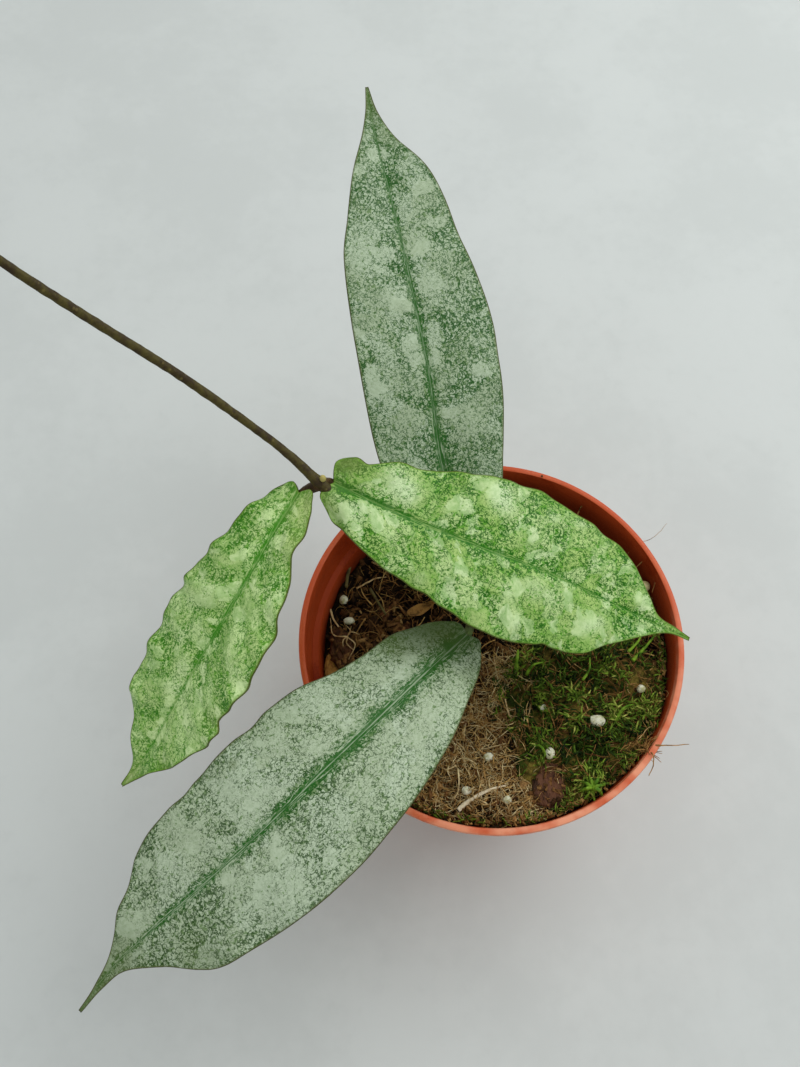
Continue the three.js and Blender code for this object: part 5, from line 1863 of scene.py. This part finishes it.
# %% Crumbs on the bark
draw = random.Random(43)
CHIP_CRUMBS = 45

on_bark = []
for name, slot, x, y, (long, wide, thick), turn in CHIPS[:2]:
    along, across = math.cos(math.radians(turn)), math.sin(math.radians(turn))
    for _ in range(CHIP_CRUMBS):
        u, v = draw.uniform(-0.48, 0.48) * long, draw.uniform(-0.4, 0.4) * wide
        spot = (x + u * along - v * across, y + u * across + v * along)
        size = draw.uniform(0.4, 1.9)
        matrix = lay(*spot, ground_height(x, y) + BARK_LIFT + thick * 0.42, draw.uniform(0, FULL_TURN),
                     draw.uniform(-0.5, 0.5), draw.uniform(0, FULL_TURN), size)
        on_bark.append((draw.choice(FLAKES), matrix, draw.uniform(0.25, 0.75)))
finish_piece("bark_crumbs", gather(on_bark), [crumb_finish])

# %% Dry twig
TWIG = [(-11, -51.6), (-7.5, -48.9), (-2, -46.2), (3.4, -44.6)]
TWIG_LIFT = 0.5
TWIG_THICK = 0.75
TWIG_THIN = 0.3

twig_finish = spotted_finish("bleached_twig", screen(226, 214, 184), screen(188, 166, 126), 600.0, 0.7,
                             0.15)
twig_line = SmoothLine([(x, y, ground_height(x, y) + TWIG_LIFT) for x, y in TWIG])
bm = bmesh.new()
add_tube(bm, twig_line, lambda share: TWIG_THICK + (TWIG_THIN - TWIG_THICK) * share, 50, 12)
for vert in bm.verts:
    vert.co += vert.normal * 0.12 * noise.noise(vert.co * 1.1)
bmesh.ops.recalc_face_normals(bm, faces=bm.faces)
finish_piece("twig", bm, [twig_finish], ["dry_twig"])

# %% Curled dead leaf
LITTER_FROM = (-26, 11.5)
LITTER_TO = (-17, 15.5)
LITTER_HALF_WIDTH = 1.7
LITTER_SLANT = -0.4
LITTER_CURL = 1.2
LITTER_LIFT = 1
LITTER_THICKNESS = 0.5

litter_finish = spotted_finish("dead_leaf", screen(170, 126, 66), screen(92, 66, 32), 380.0, 0.7, 0.2)
bm = bmesh.new()
bmesh.ops.create_grid(bm, x_segments=40, y_segments=24, size=1)
for top, bottom in thicken(bm):
    along, across = (top.co.x + 1) / 2, top.co.y
    x = LITTER_FROM[0] + (LITTER_TO[0] - LITTER_FROM[0]) * along
    y = LITTER_FROM[1] + (LITTER_TO[1] - LITTER_FROM[1]) * along
    half = LITTER_HALF_WIDTH * (0.1 + 0.9 * math.sin(math.pi * (0.06 + 0.9 * along ** 0.8)))
    half *= 1 + 0.05 * math.sin(along * 17)
    z = ground_height(x, y) + LITTER_LIFT + LITTER_CURL * (2 * along - 1) ** 2
    z += LITTER_CURL * across ** 2 + 0.12 * noise.noise(Vector((along * 6, across * 4, 2)))
    top.co = (x + LITTER_SLANT * half * across, y + half * across, z)
    bottom.co = top.co - Vector((0, 0, LITTER_THICKNESS))
bmesh.ops.recalc_face_normals(bm, faces=bm.faces)
for face in bm.faces:
    face.material_index = 0
finish_piece("dead_leaf", bm, [litter_finish], ["leaf_litter"])

# %% [markdown]
# ## Stray roots, stalks and blades
#
# A few longer pieces stand out from the tangle: pale dry roots, an old stalk or two, green blades,
# and fibres that hang over the rim. Each is one tapered tube along a line of a few chosen points.

# %% Tapered strands
STRAND_SIDES = 6
STRAND_KINKS = 0.15


def add_strand(bm, points, thick, thin):
    """A tube that tapers from thick to thin through the points, with small kinks."""
    line = SmoothLine(points)
    steps = max(8, round(line.length * 1.5))
    for vert in add_tube(bm, line, lambda share: thick + (thin - thick) * share, steps, STRAND_SIDES):
        vert.co += STRAND_KINKS * noise.noise_vector(vert.co * 0.7)


def strands_piece(name, strands, finish):
    """All strands of one finish as one piece."""
    bm = bmesh.new()
    for points, thick, thin in strands:
        add_strand(bm, points, thick, thin)
    bmesh.ops.recalc_face_normals(bm, faces=bm.faces)
    finish_piece(name, bm, [finish])


def on_ground(x, y, lift=0.6):
    return (x, y, ground_height(x, y) + lift)


# %% Pale roots
ROOT_KNOT = (-45.5, 3.6)
ROOT_TURNS = [-112, -86, -64, 20, 98, 128]
ROOT_REACHES = [3.6, 7.5, 4.6, 4.2, 5.0, 9.5]
root_finish = spotted_finish("dry_root", screen(222, 194, 140), screen(164, 124, 76), 500.0, 0.75, 0.1)
roots = []
for number, (degrees, reach) in enumerate(zip(ROOT_TURNS, ROOT_REACHES)):
    turn = math.radians(degrees)
    bent = turn + (0.7 if number % 2 else -0.5)
    middle, end = spoke(ROOT_KNOT, bent, 0.5 * reach), spoke(ROOT_KNOT, turn, reach)
    roots.append(([on_ground(*ROOT_KNOT, 3.2), on_ground(*middle, 3), on_ground(*end, 1.6)], 0.24, 0.1))
roots += [
    ([on_ground(-51.5, 14.5, 0.8), on_ground(-50.5, 11, 2), on_ground(-48.5, 7.5, 2.6)], 0.4, 0.25),
    ([on_ground(6.5, -25, 1), on_ground(5.2, -21.5, 1.8), on_ground(4.6, -17.5, 1.2)], 0.35, 0.2),
    ([on_ground(-38, 32, 0.6), on_ground(-34, 30, 1.8), on_ground(-30, 32, 1.2)], 0.35, 0.2),
    ([on_ground(-43, 22, 0.8), on_ground(-37, 25.5, 1.6), on_ground(-33, 26.5, 0.9)], 0.35, 0.15),
]
strands_piece("pale_roots", roots, root_finish)

# %% Fibres over the rim
rim_finish = spotted_finish("rim_fibre", screen(176, 132, 76), screen(112, 82, 40), 500.0, 0.8, 0.1)
over_rim = [
    ([(44, -33, 89), (47.5, -34, 94.6), (52, -34.4, 96), (57.5, -34, 95.8)], 0.3, 0.12),
    ([(44, -35, 89), (46.3, -36.4, 95.2), (46.2, -40, 96.2), (44.6, -43.2, 95.6)], 0.28, 0.12),
    ([(31, 44, 84), (33, 47.5, 90), (38, 45.5, 94), (40.5, 42, 90)], 0.28, 0.14),
    ([(46, 30, 84), (49.5, 33, 90), (52.8, 32.6, 95.3), (56, 35, 96), (58.6, 38, 95.6)], 0.11, 0.05),
    ([(48, 25, 86), (52, 27, 91), (54.5, 22, 92), (53.5, 17, 88)], 0.2, 0.12),
]
TUFT = (46.2, -34.6)
TUFT_FIBRES = 34
draw = random.Random(31)
for _ in range(TUFT_FIBRES):
    turn = draw.uniform(0, FULL_TURN)
    foot = (TUFT[0] + draw.uniform(-1.6, 1), TUFT[1] + draw.uniform(-1.6, 1.6), draw.uniform(88.5, 92))
    start, lean = Vector(foot), Vector((math.cos(turn), math.sin(turn), 0))
    middle, end = start + lean * 1.4 + Vector((0, 0, 2)), start + lean * 3.4 + Vector((0, 0, 3.6))
    over_rim.append(([start, middle, end], 0.2, 0.08))
strands_piece("rim_fibres", over_rim, rim_finish)

# %% Old stalks
stalk_finish = spotted_finish("old_stalk", screen(112, 104, 62), screen(64, 52, 30), 400.0, 0.8, 0.15)
stalks = [
    ([on_ground(-45.6, 31, 1.5), on_ground(-45.9, 27, 2.2), on_ground(-46.4, 22, 1.4)], 0.8, 0.5),
    ([on_ground(-38.5, 22, 1), on_ground(-35.5, 16, 1.8), on_ground(-33, 12, 1.2)], 0.5, 0.35),
    ([on_ground(-36, 36, 1), on_ground(-33, 33, 2.5), on_ground(-31.5, 29, 3.2)], 0.45, 0.25),
    ([(20, 53, 80), (19.6, 54.6, 88), (19, 55.6, 95.4)], 0.5, 0.3),
    ([on_ground(-27, 22, 1), on_ground(-22, 25, 1.6), on_ground(-17, 24, 1)], 0.5, 0.3),
]
strands_piece("old_stalks", stalks, stalk_finish)

# %% Green blades
green_finish = spotted_finish("green_blade", screen(124, 162, 44), screen(72, 112, 24), 260.0, 0.6, 0.05)
blades = [
    ([on_ground(45, -6, 0.6), on_ground(49.5, -1.5, 2.2), on_ground(53.5, 3, 2.4)], 0.75, 0.25),
    ([on_ground(44, -3, 0.6), on_ground(47.5, 0.5, 2.4), on_ground(50, 5, 2.6)], 0.55, 0.2),
    ([on_ground(8.6, -8, 0), on_ground(8.8, -5, 2.4), on_ground(9.2, -2, 3)], 0.9, 0.3),
    ([on_ground(11.5, -10, 0), on_ground(13.5, -7.5, 2), on_ground(17, -6, 1.6)], 0.6, 0.2),
    ([on_ground(38, -25, 0.4), on_ground(40.5, -21.5, 2.4), on_ground(44, -20, 1.2)], 0.6, 0.2),
    ([on_ground(29, -12, 0.4), on_ground(31, -9, 2), on_ground(31.5, -5, 1.6)], 0.5, 0.2),
    ([on_ground(16, -36, 0.4), on_ground(14, -33.5, 2), on_ground(11.5, -33, 1.2)], 0.55, 0.2),
]
STAR = (28.6, -46)
STAR_BLADES = 8
for number in range(STAR_BLADES):
    turn = math.radians(45 * number + 10)
    middle, end = spoke(STAR, turn, 1.6), spoke(STAR, turn, 3.6)
    blades.append(([on_ground(*STAR, 0.4), on_ground(*middle, 2.2), on_ground(*end, 1.4)], 0.8, 0.3))
strands_piece("green_blades", blades, green_finish)
